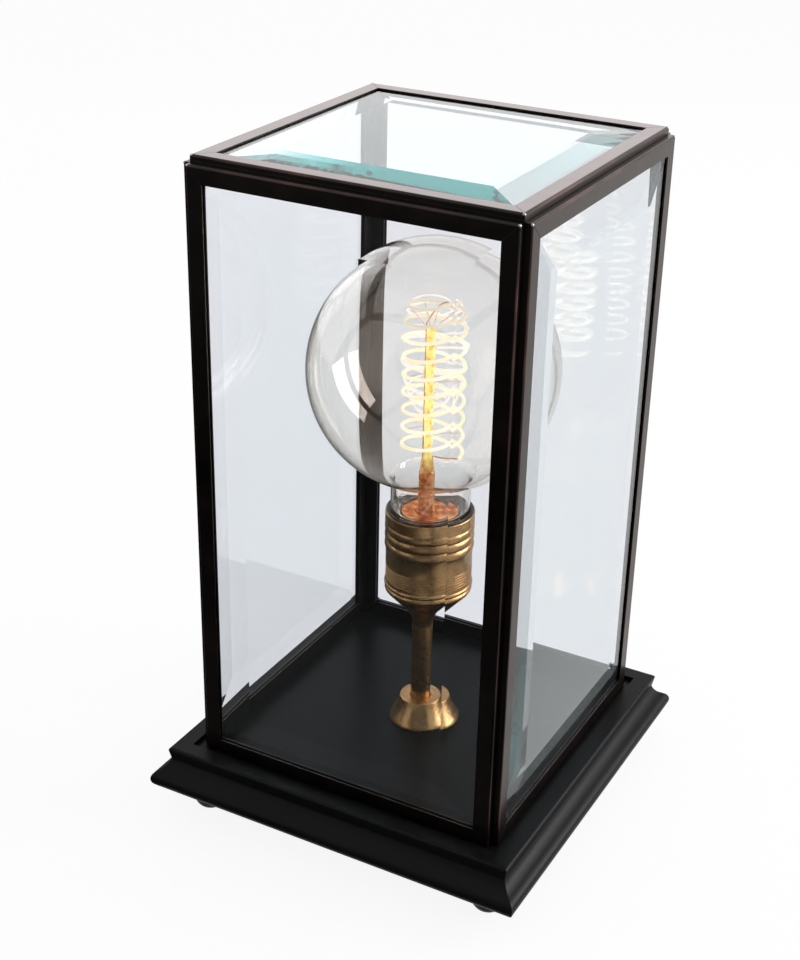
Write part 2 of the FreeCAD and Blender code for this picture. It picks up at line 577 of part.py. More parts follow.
def make_holder():
    """Brass lampholder: flared cup, ridged sleeve, black collar, core, screw shell, contacts."""
    bead_foot = f"{SEAT} - dim.bead_tall"
    cone_top = "dim.sleeve_radius - dim.cone_step"
    turned("holder_cup", [
        ("dim.tube_radius", CUP_FOOT),
        ("dim.stem_radius", CUP_FOOT),
        ("dim.stem_radius + dim.cup_flare_out", f"{CUP_FOOT} + dim.cup_flare_tall",
         "dim.cup_hollow", "right"),
        (cone_top, bead_foot),
        (cone_top, SEAT, swell_radius("dim.bead_tall", "dim.bead_swell"), "left"),
        (SPIGOT, SEAT),
        (SPIGOT, f"{SEAT} + dim.spigot_tall"),
        (SPIGOT_BORE, f"{SEAT} + dim.spigot_tall"),
        (SPIGOT_BORE, SHOULDER),
        (f"{SPIGOT_BORE} - dim.shoulder_wide", SHOULDER),
        ("dim.stem_radius + dim.boss_wide", f"{CUP_FOOT} + dim.cup_boss_tall"),
        ("dim.tube_radius", f"{CUP_FOOT} + dim.cup_boss_tall"),
    ])
    outline = [
        (SLEEVE_BORE, SEAT),
        ("dim.sleeve_radius", SEAT),
        ("dim.sleeve_radius", f"{SEAT} + dim.foot_bead_tall",
         swell_radius("dim.foot_bead_tall", "dim.ridge_swell"), "left"),
    ]
    for i in range(int(value("dim.line_count"))):
        low = f"{SEAT} + dim.line_up + {i} * dim.line_pitch"
        outline += [
            ("dim.sleeve_radius", low),
            ("dim.sleeve_radius - dim.line_deep", f"{low} + dim.line_tall / 2"),
            ("dim.sleeve_radius", f"{low} + dim.line_tall"),
        ]
    ridges_foot = f"{MOUTH} - dim.band_tall - dim.ridge_count * dim.ridge_tall"
    outline.append(("dim.sleeve_radius", ridges_foot))
    for i in range(int(value("dim.ridge_count"))):
        outline.append(("dim.sleeve_radius", f"{ridges_foot} + {i + 1} * dim.ridge_tall",
                        swell_radius("dim.ridge_tall", "dim.ridge_swell"), "left"))
    band = "dim.sleeve_radius + dim.band_out"
    outline += [
        (band, f"{MOUTH} - dim.band_tall"),
        (band, f"{MOUTH} - dim.collar_lip - dim.band_round"),
        (LIP, f"{MOUTH} - dim.collar_lip", "dim.band_round", "left"),
        (SLEEVE_BORE, f"{MOUTH} - dim.collar_lip"),
    ]
    turned("holder_sleeve", outline)
    shell_hole = f"{SHELL_BORE} + dim.shell_wall + dim.sleeve_gap"
    turned("holder_collar", [
        (f"{shell_hole} + dim.collar_step", COLLAR_FOOT),
        (SPIGOT, COLLAR_FOOT),
        (SPIGOT, f"{MOUTH} - dim.collar_lip"),
        (LIP, f"{MOUTH} - dim.collar_lip"),
        (LIP, MOUTH),
        (f"{LIP} - dim.collar_edge", MOUTH),
    ])
    turned("holder_core", [
        (f"{SPIGOT_BORE} - dim.sleeve_gap - dim.core_wall", SHOULDER),
        (f"{SPIGOT_BORE} - dim.sleeve_gap", SHOULDER),
        (f"{SPIGOT_BORE} - dim.sleeve_gap", f"{SEAT} + dim.spigot_tall + dim.sleeve_gap"),
        (SPIGOT, f"{SEAT} + dim.spigot_tall + dim.sleeve_gap"),
        (SPIGOT, COLLAR_FOOT),
        (shell_hole, COLLAR_FOOT),
        (shell_hole, SHELL_FOOT),
        (WELL, SHELL_FOOT),
        (WELL, FLOOR),
        ("0", FLOOR),
        ("0", CORE_UNDER),
        (f"{SPIGOT_BORE} - dim.sleeve_gap - dim.core_wall", CORE_UNDER),
    ])
    turned("screw_shell", [
        (f"{SHELL_BORE} - dim.shell_reach", SHELL_FOOT),
        (f"{SHELL_BORE} + dim.shell_wall", SHELL_FOOT),
        (f"{SHELL_BORE} + dim.shell_wall", f"{SHELL_FOOT} + dim.shell_tall"),
        (SHELL_BORE, f"{SHELL_FOOT} + dim.shell_tall"),
        (SHELL_BORE, f"{SHELL_FOOT} + dim.shell_wall"),
        (f"{SHELL_BORE} - dim.shell_reach", f"{SHELL_FOOT} + dim.shell_wall"),
    ])
    tongue = new_body("contact_tongue")
    crown = f"{TIP} - dim.tongue_gap"
    tongue_foot = f"-({WELL} - dim.tongue_inset)"
    strip = draw(new_sketch(tongue, "strip", "XZ_Plane"), [
        (tongue_foot, FLOOR),
        ("-dim.tongue_bend", FLOOR),
        ("0", f"{crown} - dim.tongue_thick"),
        ("dim.tip_radius", f"{crown} - dim.tongue_thick"),
        ("dim.tip_radius", crown),
        ("-dim.tongue_thick", crown),
        ("-dim.tongue_bend - dim.tongue_thick / 2", f"{FLOOR} + dim.tongue_thick"),
        (tongue_foot, f"{FLOOR} + dim.tongue_thick"),
    ])
    add_pad(tongue, strip, "dim.tongue_wide", both_ways=True)
    blocks = new_body("terminal_blocks")
    outline = new_sketch(blocks, "outline", "XY_Plane", f"{CORE_UNDER} - dim.terminal_tall")
    half = "dim.terminal_side / 2"
    for side in (-1, 1):
        middle = f"{side} * dim.terminal_out"
        draw(outline, rectangle(f"{middle} - {half}", f"-{half}", f"{middle} + {half}", half))
        draw_circle(outline, middle, "0", "dim.terminal_screw_radius")
    add_pad(blocks, outline, "dim.terminal_tall")
    screw = panhead_screw(f"({CORE_UNDER} - dim.terminal_tall)", 1, "dim.terminal_screw_radius",
                          "dim.terminal_tall", "dim.terminal_head_radius",
                          "dim.terminal_head_tall")
    turned_ring("terminal_screws", screw, "dim.terminal_out", "0", 2)


def make_bulb():
    """Globe bulb: blown glass, cap, tip, and the glass stem that carries the filament."""
    turned("bulb_tip", [
        ("0", TIP),
        ("dim.tip_radius", INSULATOR_FOOT, swell_radius("2 * dim.tip_radius", "dim.tip_tall"),
         "left"),
        ("0", INSULATOR_FOOT),
    ])
    turned("cap_insulator", [
        ("0", INSULATOR_FOOT),
        ("dim.tip_radius", INSULATOR_FOOT),
        (f"{CAP_RADIUS} - dim.insulator_inset", CAP_FOOT),
        (f"{CAP_RADIUS} - dim.cap_lip", CAP_FOOT),
        (f"{CAP_RADIUS} - dim.cap_lip", f"{CAP_FOOT} + dim.insulator_plug"),
        ("0", f"{CAP_FOOT} + dim.insulator_plug"),
    ])
    turned("bulb_cap", [
        (f"{CAP_RADIUS} - dim.cap_lip", CAP_FOOT),
        (CAP_RADIUS, CAP_FOOT),
        (CAP_RADIUS, CAP_TOP),
        (f"{CAP_RADIUS} - dim.cap_wall", CAP_TOP),
        (f"{CAP_RADIUS} - dim.cap_wall", f"{CAP_FOOT} + dim.cap_wall"),
        (f"{CAP_RADIUS} - dim.cap_lip", f"{CAP_FOOT} + dim.cap_wall"),
    ])
    # The neck widens in an upright double curve of two equal arcs, and the hollow curve above
    # it touches the globe on the line between their two centres.
    neck_foot = f"{CAP_TOP} - dim.neck_sunk"
    step = f"({NECK_WIDE} - dim.neck_radius)"
    arc = f"(({step}^2 + dim.shoulder_tall^2) / (4 * {step}))"
    middle = f"(dim.neck_radius + {NECK_WIDE}) / 2"
    middle_up = f"{SHOULDER_FOOT} + dim.shoulder_tall / 2"
    inward = f"dim.glass_wall * (1 - {step} / (2 * {arc}))"
    upward = f"dim.glass_wall * dim.shoulder_tall / (2 * {arc})"
    inner_radius = "(dim.globe_radius - dim.glass_wall)"
    turned("bulb_glass", [
        ("dim.neck_radius", neck_foot),
        ("dim.neck_radius", SHOULDER_FOOT),
        (middle, middle_up, arc, "right"),
        (NECK_WIDE, SHOULDER_TOP, arc, "left"),
        (NECK_WIDE, NECK_TOP),
        (f"{CURVE_OUT} * dim.globe_radius / {CURVE_FAR}",
         f"{GLOBE} - {CURVE_DOWN} * dim.globe_radius / {CURVE_FAR}", "dim.neck_curve", "right"),
        ("0", f"{GLOBE} + dim.globe_radius", "dim.globe_radius", "left"),
        ("0", f"{GLOBE} + {inner_radius}"),
        (f"{CURVE_OUT} * {inner_radius} / {CURVE_FAR}",
         f"{GLOBE} - {CURVE_DOWN} * {inner_radius} / {CURVE_FAR}", inner_radius, "right"),
        (f"{NECK_WIDE} - dim.glass_wall", NECK_TOP, "dim.neck_curve + dim.glass_wall", "left"),
        (f"{NECK_WIDE} - dim.glass_wall", SHOULDER_TOP),
        (f"{middle} - {inward}", f"{middle_up} + {upward}", f"{arc} - dim.glass_wall", "right"),
        ("dim.neck_radius - dim.glass_wall", SHOULDER_FOOT, f"{arc} + dim.glass_wall", "left"),
        ("dim.neck_radius - dim.glass_wall", neck_foot),
    ])
    flare_foot = f"({CAP_TOP} - dim.flare_down)"
    throat_foot = f"({CAP_TOP} + dim.throat_up)"
    stem = turned("glass_stem", [
        (f"{INNER_RADIUS} - dim.stem_glass", flare_foot),
        (INNER_RADIUS, flare_foot),
        ("dim.throat_radius", throat_foot),
        ("dim.throat_radius", PRESS_FOOT),
        ("dim.rod_radius", ROD_FOOT),
        ("dim.rod_radius", ROD_TOP),
        ("0", ROD_TOP),
        ("0", f"{PRESS_FOOT} - dim.stem_glass"),
        ("dim.throat_radius - dim.stem_glass", f"{PRESS_FOOT} - 2 * dim.stem_glass"),
        ("dim.throat_radius - dim.stem_glass", throat_foot),
    ])
    press = new_sketch(stem, "press", "XY_Plane", PRESS_FOOT)
    draw(press, rectangle("-dim.press_wide / 2", "-dim.press_thick / 2",
                          "dim.press_wide / 2", "dim.press_thick / 2"))
    add_pad(stem, press, "dim.press_tall")
    lead_holes = new_sketch(stem, "lead_holes", "XY_Plane", f"{PRESS_FOOT} - 2 * dim.stem_glass")
    for side in (-1, 1):
        draw_circle(lead_holes, f"{side} * {LEAD_OUT}", "0", "dim.wire_radius")
    cut_pocket(stem, lead_holes, "dim.press_tall + 2 * dim.stem_glass")
    slope = f"({INNER_RADIUS} - dim.throat_radius) / (dim.flare_down + dim.throat_up)"
    shield_hole = f"{INNER_RADIUS} - {slope} * (dim.flare_down + dim.shield_up)"
    turned("heat_shield", rectangle(f"{shield_hole} + dim.sleeve_gap",
                                    f"{CAP_TOP} + dim.shield_up", "dim.shield_radius",
                                    f"{CAP_TOP} + dim.shield_up + dim.shield_thick"))


def coil_point(turn):
    """A point of the filament's spiral after this many turns; its top draws in and drops."""
    taper = value("dim.coil_taper")
    drawn = max(0.0, turn - value("dim.coil_turns") + taper) / taper
    radius = value("dim.coil_radius") - value("dim.coil_narrow") * drawn**2
    angle = 2 * math.pi * turn
    rise = value("dim.coil_pitch") * turn - value("dim.coil_droop") * drawn
    return Vector(radius * math.cos(angle), radius * math.sin(angle), value(COIL_FOOT) + rise)


def wire_along(points):
    """A wire with a few flat sides, swept along straight runs with mitred bends."""
    path = Part.makePolygon(points)
    upright = Vector(0, 0, 1)
    along = Rotation(upright, (points[1] - points[0]).normalize())
    out = Vector(value("dim.wire_radius"), 0, 0)
    sides = int(value("dim.wire_sides"))
    section = Part.makePolygon([
        points[0] + along.multVec(Rotation(upright, 360 * i / sides).multVec(out))
        for i in range(sides + 1)
    ])
    sweep = Part.BRepOffsetAPI.MakePipeShell(path)
    sweep.setTransitionMode(1)
    sweep.add(section, False, False)
    sweep.build()
    sweep.makeSolid()
    return sweep.shape()


def add_wires(label, routes):
    """One sub-part of wires; each route is a list of points."""
    wires = doc.addObject("Part::Feature", label)
    wires.Label = label
    solids = [wire_along(route) for route in routes]
    wires.Shape = solids[0] if len(solids) == 1 else Part.makeCompound(solids)
    wires.Placement = Placement()


def make_filament():
    """Spiral filament, the hooks of the glass rod that hold it, and its two lead wires."""
    turns = value("dim.coil_turns")
    runs = int(round(turns * value("dim.coil_runs")))
    add_wires("filament", [[coil_point(turns * i / runs) for i in range(runs + 1)]])
    count = int(value("dim.hook_count"))
    inside = value("dim.hook_reach") + 2 * value("dim.wire_radius")
    hooks = []
    for level in (1, int(turns / 2), int(turns) - 1):
        for i in range(count):
            goal = coil_point(level + (i + 0.5) / count)
            flat = Vector(goal.x, goal.y, 0)
            start = flat * (value("dim.rod_radius") / flat.Length)
            stop = flat * ((flat.Length - inside) / flat.Length)
            start.z = min(goal.z, value(ROD_TOP) - inside)
            stop.z = goal.z
            # The square end of a hook that rises is moved out, clear of the rod.
            rise = (stop - start).normalize().z
            start = start + flat * (value("dim.wire_radius") * rise / flat.Length)
            hooks.append([start, stop])
    add_wires("filament_hooks", hooks)
    out = value(LEAD_OUT)
    low = value(f"{CAP_TOP} - dim.flare_down")
    first = coil_point(0)
    last = coil_point(turns)
    bend = value(ROD_FOOT) + inside
    add_wires("lead_wires", [
        [Vector(out, 0, low), Vector(out, 0, bend), Vector(first.x - inside, 0, first.z)],
        [Vector(-out, 0, low), Vector(-out, 0, value(ROD_TOP) + inside),
         Vector(last.x - inside, last.y, last.z)],
    ])


def edges_on_back(shape, half, high, four_sides):
    """Names of a frame's outer edges on its back face that meet another frame."""
    names = []
    for number, edge in enumerate(shape.Edges, start=1):
        box = edge.BoundBox
        on_back = abs(box.YMin) < NEAR and abs(box.YMax) < NEAR
        upright = abs(abs(box.XMin) - half) < NEAR and box.XLength < NEAR
        upper = abs(box.ZMax - high) < NEAR and box.ZLength < NEAR
        lower = abs(box.ZMin + high) < NEAR and box.ZLength < NEAR
        if on_back and (upright or upper or (four_sides and lower)):
            names.append(f"Edge{number}")
    return names


def inset(low, high, amount):
    """Corners of a frame-shaped rectangle drawn in by an amount on all four sides."""
    side = f"({FRAME_HALF} - ({amount}))"
    return rectangle(f"-{side}", f"{low} + ({amount})", side, f"{high} - ({amount})")


def glazed_frame(label, low, high, four_sides):
    """A mitred channel frame and its bevelled pane, upright, with the back on the XZ plane.

    The outside faces -Y. The back edges that meet another frame are cut at 45 degrees.
    """
    frame = new_body(f"{label}_frame")
    outside = draw(new_sketch(frame, "outside", "XZ_Plane"), inset(low, high, "0"))
    add_pad(frame, outside, "dim.channel_deep")
    opening = new_sketch(frame, "opening", "XZ_Plane")
    draw(opening, inset(low, high, "dim.channel_face"))
    cut_pocket(frame, opening, "dim.channel_deep")
    groove = new_sketch(frame, "groove", "XZ_Plane", "dim.channel_lip")
    draw(groove, inset(low, high, f"{PANE_INSET} - dim.groove_gap"))
    slot = cut_pocket(frame, groove, "dim.channel_deep - 2 * dim.channel_lip")
    mitre = frame.newObject("PartDesign::Chamfer", f"{frame.Name}_mitre")
    edges = edges_on_back(slot.Shape, value(FRAME_HALF), value(high), four_sides)
    mitre.Base = (slot, edges)
    mitre.setExpression("Size", "dim.channel_deep - dim.notch")
    pane = new_body(f"{label}_pane")
    edge = new_sketch(pane, "edge", "XZ_Plane", "dim.channel_lip")
    draw(edge, inset(low, high, PANE_INSET))
    add_pad(pane, edge, PANE_EDGE)
    bevel_foot = new_sketch(pane, "bevel_foot", "XZ_Plane", f"dim.channel_lip + {PANE_EDGE}")
    draw(bevel_foot, inset(low, high, PANE_INSET))
    bevel_top = new_sketch(pane, "bevel_top", "XZ_Plane", "dim.channel_lip + dim.pane_thick")
    draw(bevel_top, inset(low, high, f"{PANE_INSET} + dim.bevel_wide"))
    bevel = pane.newObject("PartDesign::AdditiveLoft", f"{pane.Name}_bevel")
    bevel.Profile = bevel_foot
    bevel.Sections = [bevel_top]
    bevel.Ruled = True
    return frame, pane


def make_cover():
    """Four side frames and a lid frame with their panes, meeting at a square notch."""
    back = "(dim.body_side / 2 - dim.channel_deep)"
    for label, x, y, turn in (("front", 0, -1, 0), ("right", 1, 0, 90),
                              ("back", 0, 1, 180), ("left", -1, 0, 270)):
        for piece in glazed_frame(label, "0", "dim.side_tall", False):
            piece.Placement = Placement(Vector(), Rotation(Vector(0, 0, 1), turn))
            piece.setExpression("Placement.Base.x", f"{x} * {back}")
            piece.setExpression("Placement.Base.y", f"{y} * {back}")
            piece.setExpression("Placement.Base.z", DECK)
    for piece in glazed_frame("lid", f"-{FRAME_HALF}", FRAME_HALF, True):
        piece.Placement = Placement(Vector(), Rotation(Vector(1, 0, 0), -90))
        piece.setExpression("Placement.Base.z", f"{LID_TOP} - dim.channel_deep")


make_plinth()
make_base_fittings()
make_stem()
make_holder()
make_bulb()
make_filament()
make_cover()
doc.recompute()

for item in doc.Objects:
    if "Invalid" in item.State or "Error" in item.State:
        raise RuntimeError(f"{item.Label} did not build: {item.State}")

os.makedirs("parts", exist_ok=True)
for item in doc.Objects:
    if item.TypeId not in ("PartDesign::Body", "Part::Feature"):
        continue
    if item.Shape.isNull() or not item.Shape.isValid():
        raise RuntimeError(f"{item.Label} has no valid shape")
    item.Shape.exportStep(f"parts/{item.Label}.step")
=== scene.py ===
import math
import bpy
from mathutils import Matrix, Vector


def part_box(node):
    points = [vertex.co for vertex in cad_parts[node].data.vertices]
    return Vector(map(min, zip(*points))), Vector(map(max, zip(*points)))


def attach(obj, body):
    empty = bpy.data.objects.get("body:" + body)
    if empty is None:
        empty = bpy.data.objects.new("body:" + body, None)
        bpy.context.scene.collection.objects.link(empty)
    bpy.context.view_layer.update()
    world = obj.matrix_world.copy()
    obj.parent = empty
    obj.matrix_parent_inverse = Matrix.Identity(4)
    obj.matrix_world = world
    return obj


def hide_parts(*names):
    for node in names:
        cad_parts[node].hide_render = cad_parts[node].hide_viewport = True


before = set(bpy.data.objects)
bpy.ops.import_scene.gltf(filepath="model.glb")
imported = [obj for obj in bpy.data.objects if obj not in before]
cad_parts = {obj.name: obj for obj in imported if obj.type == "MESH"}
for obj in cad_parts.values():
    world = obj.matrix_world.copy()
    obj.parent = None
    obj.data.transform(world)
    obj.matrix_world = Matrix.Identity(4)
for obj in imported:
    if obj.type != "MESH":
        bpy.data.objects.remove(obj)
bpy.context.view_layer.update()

# --- Plinth ---
# A square beech board with an ogee moulding mitred round it, filled, sanded and sprayed with
# satin black lacquer. The glass cover stands in a shallow recess cut in its top, and the
# underside is routed out for the bottom board and the wiring.


def arc(start, stop, radius, steps):
    """Points after start up to stop on an arc; a minus radius curves the other way."""
    start, stop = Vector(start), Vector(stop)
    way = stop - start
    across = Vector((-way.y, way.x)).normalized() * math.copysign(1, radius)
    centre = start + way / 2 + across * math.sqrt(radius**2 - way.length_squared / 4)
    first = start - centre
    turned = (stop - centre).angle_signed(first)
    points = []
    for i in range(1, steps + 1):
        swing = turned * i / steps
        points.append((centre.x + first.x * math.cos(swing) - first.y * math.sin(swing),
                       centre.y + first.x * math.sin(swing) + first.y * math.cos(swing)))
    return points


def plane(name, size, height):
    """A square level face to start a piece from, in edit mode with all of it selected."""
    bpy.ops.mesh.primitive_plane_add(size=size, location=(0, 0, height))
    bpy.ops.object.transform_apply()
    piece = bpy.context.object
    piece.name = piece.data.name = name
    bpy.ops.object.mode_set(mode="EDIT")
    bpy.ops.mesh.select_all(action="SELECT")
    return piece


def pull(across, along, up):
    """Extrude what is selected, by a step."""
    bpy.ops.mesh.extrude_region_move(TRANSFORM_OT_translate={"value": (across, along, up)})


touching = 0.000001


def close_up(piece, gap=touching):
    """Merge what lies together, point the faces outwards and leave edit mode."""
    bpy.ops.mesh.select_all(action="SELECT")
    bpy.ops.mesh.remove_doubles(threshold=gap)
    bpy.ops.mesh.normals_make_consistent(inside=False)
    bpy.ops.object.mode_set(mode="OBJECT")
    return piece


def modify(piece, kind, **settings):
    """Give a piece a modifier with its settings, and apply it."""
    bpy.context.view_layer.objects.active = piece
    modifier = piece.modifiers.new(kind, kind)
    for name, amount in settings.items():
        setattr(modifier, name, amount)
    bpy.ops.object.modifier_apply(modifier=modifier.name)


def cut(piece, cutter):
    """Cut one closed piece out of another; the cutter is used up."""
    modify(piece, "BOOLEAN", object=cutter, operation="DIFFERENCE")
    bpy.data.objects.remove(cutter)


def hold(piece):
    """Select a piece alone."""
    bpy.ops.object.select_all(action="DESELECT")
    piece.select_set(True)
    bpy.context.view_layer.objects.active = piece


def soften(piece, width, *materials, steps=2, smooth=35):
    """Coat a piece, round its sharp edges, and shade it smooth with its flat faces kept flat."""
    hold(piece)
    for material in materials:
        piece.data.materials.append(material)
    if width:
        modify(piece, "BEVEL", width=width, segments=steps, limit_method="ANGLE",
               angle_limit=math.radians(30), material=0, use_clamp_overlap=True)
    bpy.ops.object.shade_smooth_by_angle(angle=math.radians(smooth))
    if width:
        modify(piece, "WEIGHTED_NORMAL", keep_sharp=True)


def colour(tone):
    """Linear colour of an sRGB hex value; a plain number is a grey as it stands."""
    if not isinstance(tone, str):
        return (tone, tone, tone, 1)
    parts = [int(tone[i:i + 2], 16) / 255 for i in (1, 3, 5)]
    return tuple(part / 12.92 if part <= 0.04045 else ((part + 0.055) / 1.055) ** 2.4
                 for part in parts) + (1,)


def add(tree, kind, settings=None, links=None):
    """Add a shader node, set its colour stops, properties and inputs, and link other inputs."""
    node = tree.nodes.new("ShaderNode" + kind)
    for name, amount in (settings or {}).items():
        if name == "stops":
            elements = node.color_ramp.elements
            while len(elements) < len(amount):
                elements.new(1)
            for element, (place, tone) in zip(elements, amount):
                element.position, element.color = place, colour(tone)
        elif isinstance(name, int) or name in node.inputs:
            node.inputs[name].default_value = amount
        else:
            setattr(node, name, amount)
    for name, source in (links or {}).items():
        tree.links.new(source, node.inputs[name])
    return node


def finish(name, sockets):
    """A material with one shader whose sockets are set; also its tree and that shader."""
    material = bpy.data.materials.new(name)
    material.use_nodes = True
    tree = material.node_tree
    tree.nodes.clear()
    shader = add(tree, "BsdfPrincipled", sockets)
    add(tree, "OutputMaterial", None, {"Surface": shader.outputs["BSDF"]})
    return material, tree, shader


def follow(tree, shader, value, shades=None, dulls=None, relief=None):
    """Let colour and roughness follow a value by stops, and height by a strength and depth."""
    for socket, stops in (("Base Color", shades), ("Roughness", dulls)):
        if stops:
            bands = add(tree, "ValToRGB", {"stops": stops}, {"Fac": value})
            tree.links.new(bands.outputs["Color"], shader.inputs[socket])
    if relief:
        raised = add(tree, "Bump", {"Strength": relief[0], "Distance": relief[1]},
                     {"Height": value})
        tree.links.new(raised.outputs["Normal"], shader.inputs["Normal"])


def mottle(tree, shader, patch, detail, *follows, stretch=None, **more):
    """Noise in patches of a size in metres that a surface follows; gives the noise's value."""
    place = add(tree, "TexCoord").outputs["Object"]
    if stretch:
        place = add(tree, "Mapping", {"Scale": stretch}, {"Vector": place}).outputs[0]
    noise = add(tree, "TexNoise", {"Scale": 1 / patch, "Detail": detail},
                {"Vector": place}).outputs["Fac"]
    follow(tree, shader, noise, *follows, **more)
    return noise


# Satin black lacquer: deep black with a weak soft sheen, a trace of orange peel 1.5 mm across
# and patches 60 mm wide where it was rubbed down a little duller.
lacquer, tree, shader = finish("satin black lacquer on beech", {
    "IOR": 1.5, "Specular IOR Level": 0.08})
mottle(tree, shader, 0.0015, 1, relief=(0.03, 0.0001))
mottle(tree, shader, 0.06, 3, [(0.3, "#0b0b0c"), (0.75, "#101011")], [(0.3, 0.3), (0.7, 0.4)])

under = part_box("bottom_board")[0].z
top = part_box("plinth")[1].z
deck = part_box("stem_flange")[0].z
plinth_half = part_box("plinth")[1].x
nose_radius, nose_turn, nose_out = 0.0055, math.radians(62), 0.0075
cove_radius = 0.0107
edge_undercut, edge_tall, edge_round = 0.0011, 0.0071, 0.0015
rim_half = plinth_half - nose_out
cove_top = (rim_half - edge_undercut, top - edge_tall)
rim_wide = 0.0095
recess_half = rim_half - rim_wide

nose_middle = plinth_half - nose_radius
nose_end = (nose_middle + nose_radius * math.cos(nose_turn),
            under + nose_radius * (1 + math.sin(nose_turn)))
outline = [(nose_middle, under)]
outline += arc(outline[-1], (plinth_half, under + nose_radius), nose_radius, 7)
outline += arc(outline[-1], nose_end, nose_radius, 6)
outline += arc(outline[-1], cove_top, -cove_radius, 10)
outline += [(rim_half, top - edge_round)]
outline += arc(outline[-1], (rim_half - edge_round, top), edge_round, 5)
outline += [(recess_half, top), (recess_half, deck)]

plinth = plane("plinth_moulded", 2 * nose_middle, under)
for (half, height), (next_half, next_height) in zip(outline, outline[1:]):
    pull(0, 0, next_height - height)
    bpy.ops.transform.resize(value=(next_half / half, next_half / half, 1))
close_up(plinth)


def slab(name, half, corner, low, high):
    """A square slab with round corners, from a low to a high level."""
    piece = plane(name, 2 * half, low)
    bpy.ops.mesh.bevel(offset=corner, segments=6, affect="VERTICES")
    bpy.ops.mesh.select_all(action="SELECT")
    pull(0, 0, high - low)
    return close_up(piece)


def drill(radius, centre, length, turned=0):
    """A round cutter about a centre, upright or turned about X."""
    bpy.ops.mesh.primitive_cylinder_add(vertices=48, radius=radius, depth=length,
                                        location=centre, rotation=(turned, 0, 0))
    bpy.ops.object.transform_apply()
    return bpy.context.object


board_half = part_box("bottom_board")[1].x
board_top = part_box("bottom_board")[1].z
wiring_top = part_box("lock_washer")[1].z
board_gap, board_ledge = 0.0002, 0.02
router_radius = 0.006
reach = 0.002
cut(plinth, slab("rebate", board_half + board_gap, router_radius, under - reach, board_top))
cut(plinth, slab("pocket", board_half - board_ledge, router_radius, board_top - reach,
                 wiring_top))

cord_height = (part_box("cord_bush")[0].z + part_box("cord_bush")[1].z) / 2
tube_hole, cord_hole, cord_hole_middle = 0.00495, 0.00465, plinth_half - 0.03
bush_flat, flat_depth = 0.00625, 0.0022
quarter = math.pi / 2
cut(plinth, drill(tube_hole, (0, 0, top), 0.06))
cut(plinth, drill(cord_hole, (0, cord_hole_middle, cord_height), 0.08, quarter))
cut(plinth, drill(bush_flat, (0, plinth_half + flat_depth, cord_height), 4 * flat_depth,
                  quarter))
soften(plinth, 0.0003, lacquer)
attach(plinth, "base")
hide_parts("plinth")

# --- Feet ---
# Four small bun feet turned in beech, lacquered with the plinth. Each is a ball cut off flat
# at both ends with a narrow collar above it, and a screw sunk in its sole holds it.


def line(name, points):
    """A line through points, closed where the last is the first; in edit mode, all selected."""
    piece = plane(name, reach, 0)
    bpy.ops.mesh.merge(type="CENTER")
    bpy.ops.transform.translate(value=points[0])
    for here, there in zip(points, points[1:]):
        pull(*(after - before for before, after in zip(here, there)))
    bpy.ops.mesh.select_all(action="SELECT")
    bpy.ops.mesh.remove_doubles(threshold=touching)
    bpy.ops.mesh.select_all(action="SELECT")
    return piece


def turn(name, outline, centre=(0, 0), steps=96):
    """A piece turned on the lathe from a closed half section of (radius, height) points."""
    x, y = centre
    piece = line(name, [(x + out, y, up) for out, up in outline + outline[:1]])
    bpy.ops.mesh.spin(steps=steps, angle=2 * math.pi, center=(x, y, 0), axis=(0, 0, 1))
    return close_up(piece)


foot_radius = 0.0095
collar_radius, collar_tall = 0.008, 0.0016
foot_middle = (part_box("foot_front_right")[0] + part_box("foot_front_right")[1]) / 2
collar_foot = under - collar_tall
flat_radius = math.sqrt(foot_radius**2 - (collar_foot / 2) ** 2)
sink_radius, sink_deep, foot_hole = 0.004, 0.005, 0.00185
outline = [(sink_radius, 0), (flat_radius, 0)]
outline += arc(outline[-1], (flat_radius, collar_foot), foot_radius, 16)
outline += [(collar_radius, collar_foot), (collar_radius, under),
            (foot_hole, under), (foot_hole, sink_deep), (sink_radius, sink_deep)]
for corner, x, y in (("front_left", -1, -1), ("front_right", 1, -1),
                     ("back_left", -1, 1), ("back_right", 1, 1)):
    foot = turn("foot_turned_" + corner, outline, (x * foot_middle.x, y * abs(foot_middle.y)), 48)
    soften(foot, 0.0002, lacquer)
    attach(foot, "base")
    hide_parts("foot_" + corner)

# --- Bottom board ---
# A thin fibreboard that closes the wiring pocket, brushed with matt black paint. It lies in a
# rebate of the underside, flush with it.

# Matt paint on fibreboard: dull charcoal with a felt-like tooth and long soft brush marks.
board_paint, tree, shader = finish("matt black paint on fibreboard", {"IOR": 1.45})
mottle(tree, shader, 0.012, 6, [(0.3, "#1a1a1a"), (0.7, "#262625")], [(0.2, 0.6), (0.8, 0.8)],
       stretch=(1, 12, 1))
mottle(tree, shader, 0.0006, 2, relief=(0.25, 0.0002))

bottom_board = slab("bottom_board_painted", board_half, router_radius - board_gap, under,
                    board_top)
soften(bottom_board, 0.0004, board_paint)
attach(bottom_board, "base")
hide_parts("bottom_board")

# --- Screws ---
# Pan head wood screws of bright zinc-plated steel with a cross slot: four in the bottom board
# and one in the sole of each foot. Two smaller ones clamp the wires in the terminals.

# Zinc plating: cool silver with a faint blue and yellow cast that drifts over a few millimetres.
zinc, tree, shader = finish("zinc plated steel", {"Metallic": 1})
mottle(tree, shader, 0.004, 2, [(0.35, "#a9b0b8"), (0.65, "#bdb9a8")], [(0.3, 0.25), (0.7, 0.38)])


